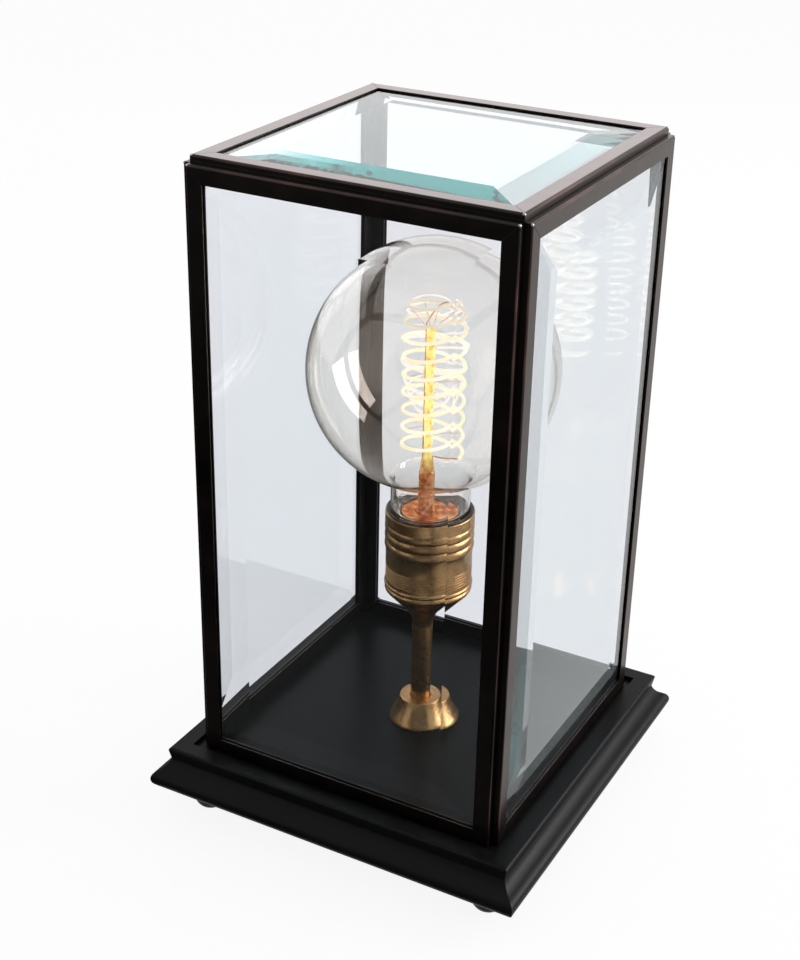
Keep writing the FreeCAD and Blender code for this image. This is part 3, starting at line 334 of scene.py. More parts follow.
def screw(centre, seat, shank, long, head, tall):
    """A pan head screw driven up from below, its head bearing on a seat."""
    low, tip = seat - tall, seat + long
    outline = [(0, low)] + arc((0, low), (head, seat - tall * 0.35), 1.6 * head, 6)
    outline += [(head, seat), (shank, seat), (shank, tip - 2 * shank), (0, tip)]
    piece = turn("screw", outline, centre, 32)
    slot_long, slot_wide = 0.9 * head, 0.22 * head
    for wide, deep in ((slot_long, slot_wide), (slot_wide, slot_long)):
        bpy.ops.mesh.primitive_cube_add(size=2, location=(*centre, low),
                                        scale=(wide / 2, deep / 2, tall * 0.55))
        bpy.ops.object.transform_apply()
        cut(piece, bpy.context.object)
    soften(piece, 0.00008, zinc)
    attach(piece, "base")
    return piece


def join(pieces, name):
    """Several pieces made one, with their places kept."""
    hold(pieces[0])
    for piece in pieces:
        piece.select_set(True)
    bpy.ops.object.join()
    pieces[0].name = pieces[0].data.name = name
    return pieces[0]


board_screw_out = board_half - 0.009
terminal_out = 0.009
corners = [(x, y) for x in (-1, 1) for y in (-1, 1)]
board_screws = join([screw((x * board_screw_out, y * board_screw_out), under, shank=0.0015,
                           long=0.012, head=0.003, tall=0.0018) for x, y in corners],
                    "board_screws_cross_slot")
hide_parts("board_screws")
foot_screws = join([screw((x * foot_middle.x, y * abs(foot_middle.y)), sink_deep, shank=0.00175,
                          long=0.020, head=0.0032, tall=0.002) for x, y in corners],
                   "foot_screws_cross_slot")
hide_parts("foot_screws")
terminal_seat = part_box("terminal_blocks")[0].z
terminal_screws = join([screw((x * terminal_out, 0), terminal_seat, shank=0.0014, long=0.007,
                              head=0.0024, tall=0.0016) for x in (-1, 1)],
                       "terminal_screws_cross_slot")
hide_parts("terminal_screws")

# --- Cord bush ---
# A moulded rubber grommet in the middle of the back, pushed into a drilled hole with its
# flange on a small flat cut in the nose. The lamp cord goes in here.

# Moulded rubber: flat grey-black, very slightly uneven, with a dusty bloom.
rubber, tree, shader = finish("moulded black rubber", {"Roughness": 0.72, "IOR": 1.5})
mottle(tree, shader, 0.002, 4, [(0.35, "#181818"), (0.7, "#2a2a2a")], relief=(0.15, 0.0001))


def settle(piece, place=(0, 0, 0), turned=(0, 0, 0), size=(1, 1, 1)):
    """Scale, turn and move the piece in hand, and keep that in its mesh."""
    piece.scale, piece.rotation_euler, piece.location = size, turned, place
    bpy.ops.object.transform_apply()
    return piece


bore, barrel, flange = 0.0032, 0.0046, 0.0062
flange_thick, flange_round, bore_round = 0.0018, 0.0012, 0.0006
bush_front, bush_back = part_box("cord_bush")[0].y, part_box("cord_bush")[1].y
bush_length = bush_back - bush_front
flange_foot = bush_length - flange_thick
outline = [(bore, 0), (barrel, 0), (barrel, flange_foot), (flange, flange_foot)]
outline += arc(outline[-1], (flange - bore_round, bush_length), flange_round, 4)
outline += [(bore + bore_round, bush_length)]
outline += arc(outline[-1], (bore, bush_length - bore_round), bore_round, 3)
bush = turn("cord_bush_moulded", outline, steps=48)
settle(bush, (0, bush_front, cord_height), (-quarter, 0, 0))
soften(bush, 0, rubber)
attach(bush, "base")
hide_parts("cord_bush")

# --- Threaded tube, nut and washer ---
# Plain steel lamp tube that runs up through the deck, the flange and the stem into the cup,
# and is pulled tight from below by a washer and a lock nut. All are hidden in the lamp.


def coat(material, *nodes):
    """Give a material to pieces that keep the shape they have."""
    for node in nodes:
        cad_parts[node].material_slots[0].material = material


coat(zinc, "threaded_tube", "lock_nut", "lock_washer")

# --- Flange and stem ---
# A spun brass cone at the foot of the stem and a drawn brass tube above it, both turned,
# brushed on the lathe and darkened with an ageing wash, then waxed.

# Aged brass: warm brown metal with paler rubbed places, hair-fine turning marks round it
# (drawn 0.4 mm apart, coarser than the real ones so that they show) and a soft sheen.
brass, tree, shader = finish("aged brushed brass", {"Metallic": 0.92, "Anisotropic": 0.3})
marks = mottle(tree, shader, 0.0004, 2, relief=(0.06, 0.00008), stretch=(0.003, 0.003, 1))
cloud = mottle(tree, shader, 0.014, 3)
both = add(tree, "Math", {"operation": "MULTIPLY_ADD", 1: 0.3}, {0: marks, 2: cloud})
follow(tree, shader, both.outputs[0], [(0.45, "#997249"), (0.65, "#a98358"), (0.85, "#bd986a")],
       [(0.45, 0.3), (0.8, 0.25)])

socket = 0.0056
flange_out, flange_lip = 0.0167, 0.001
flange_top, flange_top_out, flange_hollow = deck + 0.0142, 0.0111, 0.06
stem_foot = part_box("stem_tube")[0].z
outline = [(tube_hole, deck), (flange_out, deck), (flange_out, deck + flange_lip)]
outline += arc(outline[-1], (flange_top_out, flange_top), -flange_hollow, 10)
outline += [(socket, flange_top), (socket, stem_foot), (tube_hole, stem_foot)]
stem_flange = turn("stem_flange_spun", outline)
soften(stem_flange, 0.00035, brass, steps=3)
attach(stem_flange, "base")
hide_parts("stem_flange")

cup_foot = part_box("stem_tube")[1].z
stem_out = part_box("stem_tube")[1].x
stem = turn("stem_drawn", [(tube_hole, stem_foot), (stem_out, stem_foot), (stem_out, cup_foot),
                           (tube_hole, cup_foot)])
soften(stem, 0.00015, brass)
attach(stem, "base")
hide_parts("stem_tube")

# --- Lampholder cup ---
# A spun brass cup that flares from the stem, widens as a cone and ends in a round bead. Its
# boss screws on to the threaded tube, and its spigot carries the sleeve.
tube_out = 0.0049
seat = cup_foot + 0.0262
bead_tall, bead_round = 0.0036, 0.00225
flare_out, flare_tall, flare_round = 0.0053, 0.0123, 0.017
sleeve_out = 0.0206
cone_out = sleeve_out - 0.0006
spigot, spigot_tall, cup_wall = sleeve_out - 0.0014, 0.005, 0.0014
spigot_bore = spigot - cup_wall
shoulder, shoulder_wide = seat - 0.0012, 0.0028
boss_top, boss_wide = cup_foot + 0.011, 0.0035
outline = [(tube_out, cup_foot), (stem_out, cup_foot)]
outline += arc(outline[-1], (stem_out + flare_out, cup_foot + flare_tall), -flare_round, 14)
outline += [(cone_out, seat - bead_tall)]
outline += arc(outline[-1], (cone_out, seat), bead_round, 10)
outline += [(spigot, seat), (spigot, seat + spigot_tall), (spigot_bore, seat + spigot_tall),
            (spigot_bore, shoulder), (spigot_bore - shoulder_wide, shoulder),
            (stem_out + boss_wide, boss_top), (tube_out, boss_top)]
cup = turn("holder_cup_spun", outline)
soften(cup, 0.00012, brass)
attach(cup, "base")
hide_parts("holder_cup")

# --- Lampholder sleeve ---
# A drawn brass sleeve with a bead at its foot, six fine lines turned in it, three round
# ridges and a plain band at the mouth, which is closed by the black collar.
sleeve_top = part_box("holder_sleeve")[1].z
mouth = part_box("holder_collar")[1].z
sleeve_bore = sleeve_out - 0.0013
band_out, band_foot, band_round = sleeve_out + 0.0006, mouth - 0.0071, 0.0005
foot_bead_tall, foot_bead_round = 0.0024, 0.00158
ridges, ridge_tall, ridge_round = 3, 0.0051, 0.005
lines, line_up, line_tall, line_round, line_pitch = 6, 0.0045, 0.0007, 0.00036, 0.0015
outline = [(sleeve_bore, seat), (sleeve_out, seat)]
outline += arc(outline[-1], (sleeve_out, seat + foot_bead_tall), foot_bead_round, 8)
for i in range(lines):
    low = seat + line_up + i * line_pitch
    outline += [(sleeve_out, low)]
    outline += arc(outline[-1], (sleeve_out, low + line_tall), -line_round, 4)
outline += [(sleeve_out, band_foot - ridges * ridge_tall)]
for i in reversed(range(ridges)):
    outline += arc(outline[-1], (sleeve_out, band_foot - i * ridge_tall), ridge_round, 12)
outline += [(band_out, band_foot), (band_out, sleeve_top - band_round)]
outline += arc(outline[-1], (band_out - band_round, sleeve_top), band_round, 4)
outline += [(sleeve_bore, sleeve_top)]
sleeve = turn("holder_sleeve_drawn", outline, steps=128)
soften(sleeve, 0, brass)
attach(sleeve, "base")
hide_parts("holder_sleeve")

# --- Collar and core ---
# A glossy black phenolic ring fills the sleeve's mouth, with a thin lip over its edge. Under
# it a glazed porcelain core holds the screw shell, the contact tongue and the two terminals.

# Moulded phenolic: jet black with a quiet gloss and a hint of flow in the surface.
phenolic, tree, shader = finish("moulded black phenolic", {
    "Base Color": colour("#0b0b0c"), "IOR": 1.6, "Specular IOR Level": 0.2})
mottle(tree, shader, 0.006, 2, None, [(0.3, 0.1), (0.7, 0.2)], relief=(0.05, 0.0002))

collar_low, collar_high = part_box("holder_collar")
shell_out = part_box("screw_shell")[1].x
collar_hole, collar_out = shell_out + 0.0007, sleeve_bore - 0.0001
collar_edge = 0.0018
collar = turn("holder_collar_moulded", [
    (collar_hole, collar_low.z), (collar_out, collar_low.z), (collar_out, sleeve_top),
    (collar_high.x, sleeve_top), (collar_high.x, mouth), (collar_high.x - collar_edge, mouth)])
soften(collar, 0.0002, phenolic)
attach(collar, "base")
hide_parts("holder_collar")

# Glazed porcelain: warm white body under a clear, slightly rippled glaze.
porcelain, tree, shader = finish("glazed porcelain", {
    "Roughness": 0.35, "IOR": 1.5, "Coat Weight": 0.8, "Coat Roughness": 0.06})
mottle(tree, shader, 0.005, 2, [(0.3, "#ddd9ce"), (0.7, "#e9e6dd")], relief=(0.1, 0.0003))
coat(porcelain, "holder_core")

# --- Screw shell and contacts ---
# A rolled nickel-plated shell with the round thread that takes the bulb, a springy brass
# tongue under the bulb's tip, and two brass terminal blocks below the core.

# Nickel plate: a warm grey mirror with a few dull, faintly uneven spots.
nickel, tree, shader = finish("nickel plated brass", {"Metallic": 1})
mottle(tree, shader, 0.003, 4, [(0.3, "#a8a195"), (0.7, "#c4bdb1")], [(0.3, 0.3), (0.7, 0.16)])

# Spring brass: bright yellow metal, browner where it has tarnished.
spring_brass, tree, shader = finish("spring brass", {"Metallic": 1})
mottle(tree, shader, 0.003, 4, [(0.3, "#8f7440"), (0.7, "#c2a25c")], [(0.3, 0.4), (0.7, 0.22)])
coat(spring_brass, "contact_tongue", "terminal_blocks")

thread_pitch = 0.0254 / 7


def rolled_thread(name, crest, root, low, turns, wall):
    """A thin wall rolled into a round helical thread, from a wave one pitch high."""
    waves, seam = 12, 0.00001
    middle, swing = (crest + root) / 2, (crest - root) / 2
    piece = line(name, [(middle + swing * math.cos(2 * math.pi * i / waves), 0,
                         low + thread_pitch * i / waves) for i in range(waves + 1)])
    bpy.ops.object.mode_set(mode="OBJECT")
    modify(piece, "SCREW", steps=48, render_steps=48, iterations=turns,
           screw_offset=thread_pitch, use_merge_vertices=True, merge_threshold=seam)
    bpy.ops.object.mode_set(mode="EDIT")
    for height, keeps_below in ((low + thread_pitch, False), (low + turns * thread_pitch, True)):
        bpy.ops.mesh.select_all(action="SELECT")
        bpy.ops.mesh.bisect(plane_co=(0, 0, height), plane_no=(0, 0, 1),
                            clear_inner=not keeps_below, clear_outer=keeps_below)
    close_up(piece, seam)
    modify(piece, "SOLIDIFY", thickness=wall, offset=-1)
    return piece


shell_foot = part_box("screw_shell")[0].z
rolled, lip_tall = 0.0004, 0.0012
lip_hole = 0.0093
shell_lip = turn("shell_lip", [
    (lip_hole, shell_foot), (shell_out, shell_foot), (shell_out, shell_foot + lip_tall),
    (shell_out - rolled, shell_foot + lip_tall), (shell_out - rolled, shell_foot + rolled),
    (lip_hole, shell_foot + rolled)])
shell_wall = rolled_thread("shell_wall", crest=shell_out, root=shell_out - 0.0007,
                           low=shell_foot + lip_tall - thread_pitch, turns=6, wall=0.0003)
shell = join([shell_wall, shell_lip], "screw_shell_threaded")
soften(shell, 0, nickel, smooth=50)
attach(shell, "base")
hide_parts("screw_shell")

# --- Bulb cap ---
# The bulb's nickel-plated cap with its rolled thread, cemented to the neck. Black glass closes
# its foot round a blob of solder, the centre contact.
cap_low, cap_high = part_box("bulb_cap")
cap_out, cap_top, cap_hole = cap_high.x, cap_high.z, 0.0099
thread_foot = cap_low.z + 0.0006
cap_thread = rolled_thread("cap_thread", crest=cap_out, root=cap_out - 0.0009,
                           low=thread_foot - thread_pitch, turns=5, wall=0.0003)
skirt_foot = thread_foot + 4 * thread_pitch
cap_foot = turn("cap_foot", [
    (cap_hole, cap_low.z), (cap_out - 0.0002, cap_low.z), (cap_out - 0.0002, thread_foot),
    (cap_out - 0.0006, thread_foot), (cap_out - 0.0006, cap_low.z + rolled),
    (cap_hole, cap_low.z + rolled)])
cap_skirt = turn("cap_skirt", [(cap_out - rolled, skirt_foot), (cap_out, skirt_foot),
                               (cap_out, cap_top), (cap_out - rolled, cap_top)])
cap = join([cap_thread, cap_foot, cap_skirt], "bulb_cap_threaded")
soften(cap, 0, nickel, smooth=50)
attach(cap, "bulb")
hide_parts("bulb_cap")

coat(phenolic, "cap_insulator")

# Soft solder: dull silver grey, cast with tiny wrinkles.
solder, tree, shader = finish("soft tin solder", {"Metallic": 1, "Roughness": 0.38})
mottle(tree, shader, 0.0015, 3, [(0.3, "#9a9a9e"), (0.7, "#bcbcbf")], relief=(0.3, 0.0002))
coat(solder, "bulb_tip")

# --- Globe ---
# The bulb's blown glass: a thin 125 mm sphere that narrows in a short hollow curve to a wide
# neck, and below it to the cap. The glass is lightly smoked, so its rims look darker.
bulb_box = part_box("bulb_glass")
globe_radius = bulb_box[1].x
globe_middle = bulb_box[1].z - globe_radius
wall = 0.0008
cap_neck = 0.0123
shoulder_foot, shoulder_tall = 0.1612, 0.0075
neck_out = 0.0186
neck_curve = 0.005
neck_foot = bulb_box[0].z


def choose(tree, share, first, second):
    """Show the first shader where a value is 0 and the second where it is 1."""
    mix = add(tree, "MixShader", None, {0: share, 1: first.outputs[0], 2: second.outputs[0]})
    output = next(node for node in tree.nodes if node.type == "OUTPUT_MATERIAL")
    tree.links.new(mix.outputs[0], output.inputs["Surface"])
    return output


def let_light_in(tree, shader, tint):
    """Lamp light and soft light go straight through glass, as through an open window."""
    path = add(tree, "LightPath")
    soft = add(tree, "Math", {"operation": "MAXIMUM"},
               {0: path.outputs["Is Shadow Ray"], 1: path.outputs["Is Diffuse Ray"]})
    window = add(tree, "BsdfTransparent", {"Color": tint})
    return choose(tree, soft.outputs[0], shader, window)


# Smoked bulb glass: soda lime glass with a warm straw cast through its wall, and a faint warm
# glow painted on as emission, standing for the filament's light caught in the smoke film.
bulb_glass, tree, shader = finish("smoked soda lime bulb glass", {
    "Base Color": (1, 1, 1, 1), "Roughness": 0, "IOR": 1.5, "Transmission Weight": 1,
    "Specular Tint": (1, 0.86, 0.76, 1), "Emission Color": (1, 0.7, 0.5, 1),
    "Emission Strength": 0.007})
output = let_light_in(tree, shader, colour("#f4f1ea"))
cast = add(tree, "VolumeAbsorption", {"Color": (0.95, 0.74, 0.3, 1), "Density": 65})
tree.links.new(cast.outputs[0], output.inputs["Volume"])


def globe_side(inset):
    """The neck, its shoulder, the hollow curve and the sphere, from the foot to the pole."""
    step, half = neck_out - cap_neck, shoulder_tall / 2
    bend = (step**2 + shoulder_tall**2) / (4 * step)
    middle = (cap_neck + step / 2 - inset * (1 - step / 2 / bend),
              shoulder_foot + half + inset * half / bend)
    neck_base = shoulder_foot + shoulder_tall
    radius, spread = globe_radius - inset, globe_radius + neck_curve
    down = math.sqrt(spread**2 - (neck_out + neck_curve) ** 2)
    low = (neck_out - inset, globe_middle - down)
    touch = ((neck_out + neck_curve) * radius / spread, globe_middle - down * radius / spread)
    side = [(cap_neck - inset, neck_foot), (cap_neck - inset, shoulder_foot)]
    side += arc(side[-1], middle, -bend - inset, 8)
    side += arc(middle, (neck_out - inset, neck_base), bend - inset, 8)
    side += [low]
    side += arc(low, touch, -neck_curve - inset, 12)
    side += arc(touch, (radius, globe_middle), radius, 48)
    side += arc((radius, globe_middle), (0, globe_middle + radius), radius, 48)
    return side


globe = turn("bulb_globe_blown", globe_side(0) + globe_side(wall)[::-1], steps=160)
soften(globe, 0, bulb_glass, smooth=60)
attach(globe, "bulb")
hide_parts("bulb_glass")

# --- Glass stem and shield ---
# The clear glass mount inside the bulb: a flared tube, a flat press that seals the two lead
# wires, and a rod that carries the filament. A copper disc shields the cap from its heat.

# Lead glass, all painted light: copper brown flecked with cream near the cap, painted copper
# glints, and above it a soft yellow glow with amber spots, the filament's light painted on the rod.
stem_glass, tree, shader = finish("lead glass with painted glints and glow", {
    "Roughness": 0.08, "IOR": 1.52, "Transmission Weight": 0.55, "Emission Strength": 0.5})


def risen(tree, low, high):
    """A value that grows from 0 at a low level to 1 at a high one."""
    place = add(tree, "TexCoord").outputs["Object"]
    height = add(tree, "SeparateXYZ", None, {"Vector": place}).outputs["Z"]
    share = add(tree, "MapRange", {"From Min": low, "From Max": high}, {"Value": height})
    return share.outputs["Result"]


painted_glints_top, lit_rod = 0.186, 0.2
share = risen(tree, painted_glints_top, lit_rod)
fleck = mottle(tree, shader, 0.003, 2)
# Base colour: painted copper glints low down, painted filament light higher up.
painted_glint_tone, painted_lit_tone = [add(tree, "ValToRGB", {"stops": stops}, {"Fac": fleck}).outputs[0]
                       for stops in ([(0.38, "#7d4420"), (0.48, "#d08e52"), (0.62, "#f8dcba")],
                                     [(0.36, "#e8a85c"), (0.46, "#f2df84"), (0.62, "#f6efa6")])]
tone = add(tree, "Mix", {"data_type": "RGBA"}, {"Factor": share, 6: painted_glint_tone, 7: painted_lit_tone})
# The mount's glow is painted light, from copper brown at the foot to the lit tone above.
painted_glow_tone = add(tree, "Mix", {"data_type": "RGBA", 6: colour("#8a4419")},
              {"Factor": share, 7: painted_lit_tone})
tree.links.new(tone.outputs[2], shader.inputs["Base Color"])
tree.links.new(painted_glow_tone.outputs[2], shader.inputs["Emission Color"])
let_light_in(tree, shader, colour("#ffffff"))

stem_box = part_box("glass_stem")
stem_flare = stem_box[1].x
throat, throat_foot = 0.0042, cap_top + 0.007
press_foot = cap_top + 0.026
rod_out, rod_foot, rod_top = 0.0022, press_foot + 0.009, stem_box[1].z
rod_neck_round, rod_tip_tall, rod_tip_round = 0.024, 0.0011, 0.00275
glass_wall = 0.001
outline = [(stem_flare - glass_wall, stem_box[0].z), (stem_flare, stem_box[0].z),
           (throat, throat_foot), (throat, press_foot)]
outline += arc(outline[-1], (rod_out, rod_foot), -rod_neck_round, 8)
outline += [(rod_out, rod_top - rod_tip_tall)]
outline += arc(outline[-1], (0, rod_top), rod_tip_round, 5)
outline += [(0, press_foot - glass_wall), (throat - glass_wall, press_foot - 2 * glass_wall),
            (throat - glass_wall, throat_foot)]
mount = turn("glass_stem_blown", outline, steps=48)
soften(mount, 0, stem_glass, smooth=40)
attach(mount, "bulb")
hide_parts("glass_stem")

press_wide, press_thick, press_tall, press_narrows = 0.008, 0.0034, 0.008, 0.8
press = plane("glass_press", press_wide, press_foot + 0.0005)
bpy.ops.transform.resize(value=(1, press_thick / press_wide, 1))
pull(0, 0, press_tall)
bpy.ops.transform.resize(value=(press_narrows, press_narrows, 1))
close_up(press)
soften(press, 0.0012, stem_glass, steps=4)
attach(press, "bulb")

# Copper: bright orange metal in the filament's light, mottled with browner oxide.
copper, tree, shader = finish("satin copper", {"Metallic": 0.8, "Roughness": 0.35})
mottle(tree, shader, 0.005, 3, [(0.35, "#a84a1a"), (0.5, "#d27434"), (0.66, "#f2b26a")],
       relief=(0.2, 0.0002))
coat(copper, "heat_shield")

# --- Filament ---
# One long carbon filament wound as an open right-hand spiral, drawn in at the top, lit. Three
# rings of four nickel hooks on the glass rod hold it, and two leads feed it from the press.

# Lit carbon: cream white, a little warmer in places and dimmer in its top two turns. It is
# stronger where a pane mirrors it, so that its reflections show.
glow, tree, shader = finish("lit carbon filament", {
    "Base Color": colour("#20160e"), "Roughness": 0.6})


def has_met(tree, depth):
    """1 for light that has met gloss or glass on its way, by that depth of the light path."""
    path = add(tree, "LightPath")
    return add(tree, "Math", {"operation": "GREATER_THAN", 1: 0.5},
               {0: path.outputs[depth]}).outputs[0]


glow_strength, more_in_gloss = 1.3, 4
strength = add(tree, "Math", {"operation": "MULTIPLY_ADD", 1: more_in_gloss, 2: glow_strength},
               {0: has_met(tree, "Glossy Depth")})
tree.links.new(strength.outputs[0], shader.inputs["Emission Strength"])
bright_to, dim_from = 0.262, 0.274
heat = mottle(tree, shader, 0.012, 2)
shade = add(tree, "ValToRGB", {"stops": [(0.35, "#ffeabc"), (0.65, "#fff6de")]}, {"Fac": heat})
tone = add(tree, "Mix", {"data_type": "RGBA", 7: colour("#d8ccba")},
           {"Factor": risen(tree, bright_to, dim_from), 6: shade.outputs[0]})
tree.links.new(tone.outputs[2], shader.inputs["Emission Color"])


def wire(name, route, radius):
    """A round wire along points, drawn as a curve and made a mesh."""
    bpy.ops.curve.primitive_nurbs_path_add()
    piece = bpy.context.object
    piece.data.bevel_depth = radius
    piece.data.bevel_resolution = 2
    piece.data.resolution_u = 4
    piece.data.use_fill_caps = True
    spline = piece.data.splines[0]
    spline.points.add(len(route) - len(spline.points))
    for point, place in zip(spline.points, route):
        point.co = (*place, 1)
    spline.order_u = 3
    spline.use_endpoint_u = True
    bpy.ops.object.convert(target="MESH")
    piece = bpy.context.object
    piece.name = piece.data.name = name
    return piece


coil_radius, coil_narrow = 0.0136, 0.003
coil_pitch, coil_turns, coil_taper, coil_droop = 0.0096, 9, 2, 0.0024
coil_foot = cap_top + 0.037
wire_radius, glow_radius, hook_radius = 0.00035, 0.0009, 0.00016


def coil_point(turned):
    """A point of the spiral after this many turns."""
    drawn = max(0, turned - coil_turns + coil_taper) / coil_taper
    radius = coil_radius - coil_narrow * drawn**2
    angle = 2 * math.pi * turned
    return Vector((radius * math.cos(angle), radius * math.sin(angle),
                   coil_foot + coil_pitch * turned - coil_droop * drawn))


runs = 28
filament = wire("filament_spiral", [coil_point(i / runs) for i in range(coil_turns * runs + 1)],
                glow_radius)
filament.data.materials.append(glow)
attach(filament, "bulb")
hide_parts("filament")

# Hot nickel wire: brown and straw coloured metal, tinted by the heat.
hot_nickel, tree, shader = finish("heat tinted nickel wire", {"Metallic": 1, "Roughness": 0.35})
mottle(tree, shader, 0.003, 2, [(0.35, "#a07a52"), (0.65, "#d2a878")])

gap = 0.001
eye_gap, eye_drop, end_drop = 0.0006, 0.0008, 0.0009
hooks = []
for level in (1, coil_turns // 2, coil_turns - 1):
    for i in range(4):
        goal = coil_point(level + (i + 0.5) / 4)
        flat = Vector((goal.x, goal.y, 0))
        way = flat.normalized()
        start = way * rod_out
        start.z = min(goal.z, rod_top - gap)
        eye = flat - way * (wire_radius + eye_gap)
        eye.z = goal.z - eye_drop
        end = Vector((goal.x, goal.y, goal.z - end_drop))
        hooks.append(wire("hook", [start, (start + eye) / 2, eye, end + (goal - end) / 2, end],
                          hook_radius))
hooks = join(hooks, "filament_hooks_bent")
hooks.data.materials.append(hot_nickel)
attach(hooks, "bulb")
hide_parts("filament_hooks")

lead_out = rod_out + wire_radius + 0.0002
first, last = coil_point(0), coil_point(coil_turns)
leads = join([
    wire("lead", [(lead_out, 0, stem_box[0].z), (lead_out, 0, rod_foot),
                  (lead_out, 0, rod_foot + gap), (first.x * 0.6, 0, first.z - gap),
                  (first.x - wire_radius, 0, first.z)], wire_radius),
    wire("lead", [(-lead_out, 0, stem_box[0].z), (-lead_out, 0, rod_foot),
                  (-lead_out, 0, rod_top), (-lead_out, 0, rod_top + gap),
                  (last.x / 2, 0, last.z), (last.x - wire_radius, 0, last.z)], wire_radius),
], "lead_wires_drawn")
leads.data.materials.append(hot_nickel)
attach(leads, "bulb")
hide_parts("lead_wires")

# --- Frames ---
# Brass channel, 8.6 mm wide and 5 mm deep, cut at 45 degrees and soldered into five frames,
# then darkened to a brown black patina. The lift-off cover is four upright frames and a lid.

# Dark patina on brass: brown black under a thin wax. The lid's upward faces are painted a pale
# mauve grey, a painted reflection of the bright room above them.
side_foot, side_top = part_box("front_frame")[0].z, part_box("front_frame")[1].z
patina, tree, shader = finish("dark bronze patina", {
    "Metallic": 0.85, "Specular Tint": (1, 0.93, 0.89, 1), "Coat Weight": 0.4,
    "Coat Roughness": 0.16, "Coat IOR": 1.5})
cloud = mottle(tree, shader, 0.02, 5, None, [(0.3, 0.3), (0.7, 0.42)])
mottle(tree, shader, 0.0008, 2, relief=(0.04, 0.0001))
shade = add(tree, "ValToRGB", {
    "stops": [(0.35, "#120e0c"), (0.6, "#1b1411"), (0.8, "#281815")]}, {"Fac": cloud})
# The lid's top faces take a pale mauve grey: a painted reflection of the room above.
painted_reflection_tone = add(tree, "ValToRGB", {"stops": [(0.35, "#7f777a"), (0.7, "#989093")]}, {"Fac": cloud})
facing = add(tree, "NewGeometry").outputs["Normal"]
upward = add(tree, "SeparateXYZ", None, {"Vector": facing}).outputs["Z"]
laid = add(tree, "ValToRGB", {"stops": [(0.8, 0), (0.98, 1)]}, {"Fac": upward})
place = add(tree, "TexCoord").outputs["Object"]
level = add(tree, "SeparateXYZ", None, {"Vector": place}).outputs["Z"]
lid_face = add(tree, "Math", {"operation": "GREATER_THAN", 1: side_top}, {0: level})
painted_reflection_mask = add(tree, "Math", {"operation": "MULTIPLY"}, {0: laid.outputs[0], 1: lid_face.outputs[0]})
tone = add(tree, "Mix", {"data_type": "RGBA"},
           {"Factor": painted_reflection_mask.outputs[0], 6: shade.outputs[0], 7: painted_reflection_tone.outputs[0]})
tree.links.new(tone.outputs[2], shader.inputs["Base Color"])

# Rubbed edges: reddish brown streaks on each rounded arris, worn patina and painted highlight.
edge_wear_and_highlight, tree, shader = finish("bronze edge wear and painted highlight", {
    "Metallic": 1, "Coat Weight": 0.3, "Coat Roughness": 0.2})
mottle(tree, shader, 0.06, 5, [(0.42, "#1a1412"), (0.56, "#382623"), (0.74, "#74504a")],
       [(0.3, 0.4), (0.7, 0.3)])

face_wide, channel_deep = 0.0086, 0.005
lip, groove_in, back_mitre = 0.0009, 0.003, 0.0012
arris, edge_width = 0.0011, 0.00025
cover_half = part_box("front_frame")[1].x
cover_out = -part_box("front_frame")[0].y
lid_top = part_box("lid_frame")[1].z


def rail(low, high, at, axis, mitred_back):
    """One mitred channel of a frame that lies flat about the origin, its face upwards.

    It runs from low to high along an axis, with its outer edge at a distance to one side.
    """
    section = [(0, 0), (face_wide, 0), (face_wide, lip), (groove_in, lip),
               (groove_in, channel_deep - lip), (face_wide, channel_deep - lip),
               (face_wide, channel_deep), (arris, channel_deep)]
    section += arc(section[-1], (0, channel_deep - arris), arris, 5)
    if mitred_back:
        section[:1] = [(0, back_mitre), (back_mitre, 0)]
    piece = line("rail", [(across, low, up) for across, up in section + section[:1]])
    bpy.ops.mesh.edge_face_add()
    pull(0, high - low, 0)
    for end, lean in ((low, 1), (high, -1)):
        bpy.ops.mesh.select_all(action="SELECT")
        bpy.ops.mesh.bisect(plane_co=(0, end, 0), plane_no=(-lean, 1, 0), use_fill=True,
                            clear_inner=lean > 0, clear_outer=lean < 0)
    close_up(piece)
    settle(piece, (-at, 0, 0))
    return settle(piece, turned=(0, 0, axis))


def channel_frame(name, half, low, high, four_sides):
    """Four rails round a rectangle that lies flat: half wide along X, low to high along Y."""
    middle, tall = (low + high) / 2, (high - low) / 2
    rails = [rail(-reach_out, reach_out, at, side * quarter, mitred)
             for side, at, reach_out, mitred in ((0, half, tall, True), (1, tall, half, four_sides),
                                                 (2, half, tall, True), (3, tall, half, True))]
    piece = settle(join(rails, name), (0, middle, 0))
    piece.data.materials.append(patina)
    piece.data.materials.append(edge_wear_and_highlight)
    # Arris faces take the worn edge colour, partly a painted highlight.
    for face in piece.data.polygons:  # an arris faces neither straight up nor sideways
        face.material_index = int(0.1 < face.normal.z < 0.99)
    soften(piece, edge_width)
    return piece


def copy(piece, name):
    """A copy of a piece with a mesh of its own, selected alone."""
    hold(piece)
    bpy.ops.object.duplicate()
    twin = bpy.context.object
    twin.name = twin.data.name = name
    return twin


# The side frame is made lying on its back, stood up with its face to the front, and copied to
# the other three sides, a quarter turn each.
front = channel_frame("front_frame_soldered", cover_half, 0, side_top - side_foot, False)
settle(front, (0, channel_deep - cover_out, side_foot), (quarter, 0, 0))
upright = {"front": front}
for turns, side in ((1, "right"), (2, "back"), (3, "left")):
    upright[side] = settle(copy(front, side + "_frame_soldered"), turned=(0, 0, turns * quarter))
lid = channel_frame("lid_frame_soldered", cover_half, -cover_half, cover_half, True)
settle(lid, (0, 0, lid_top - channel_deep))
for side, piece in [*upright.items(), ("lid", lid)]:
    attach(piece, "cover")
    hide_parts(side + "_frame")

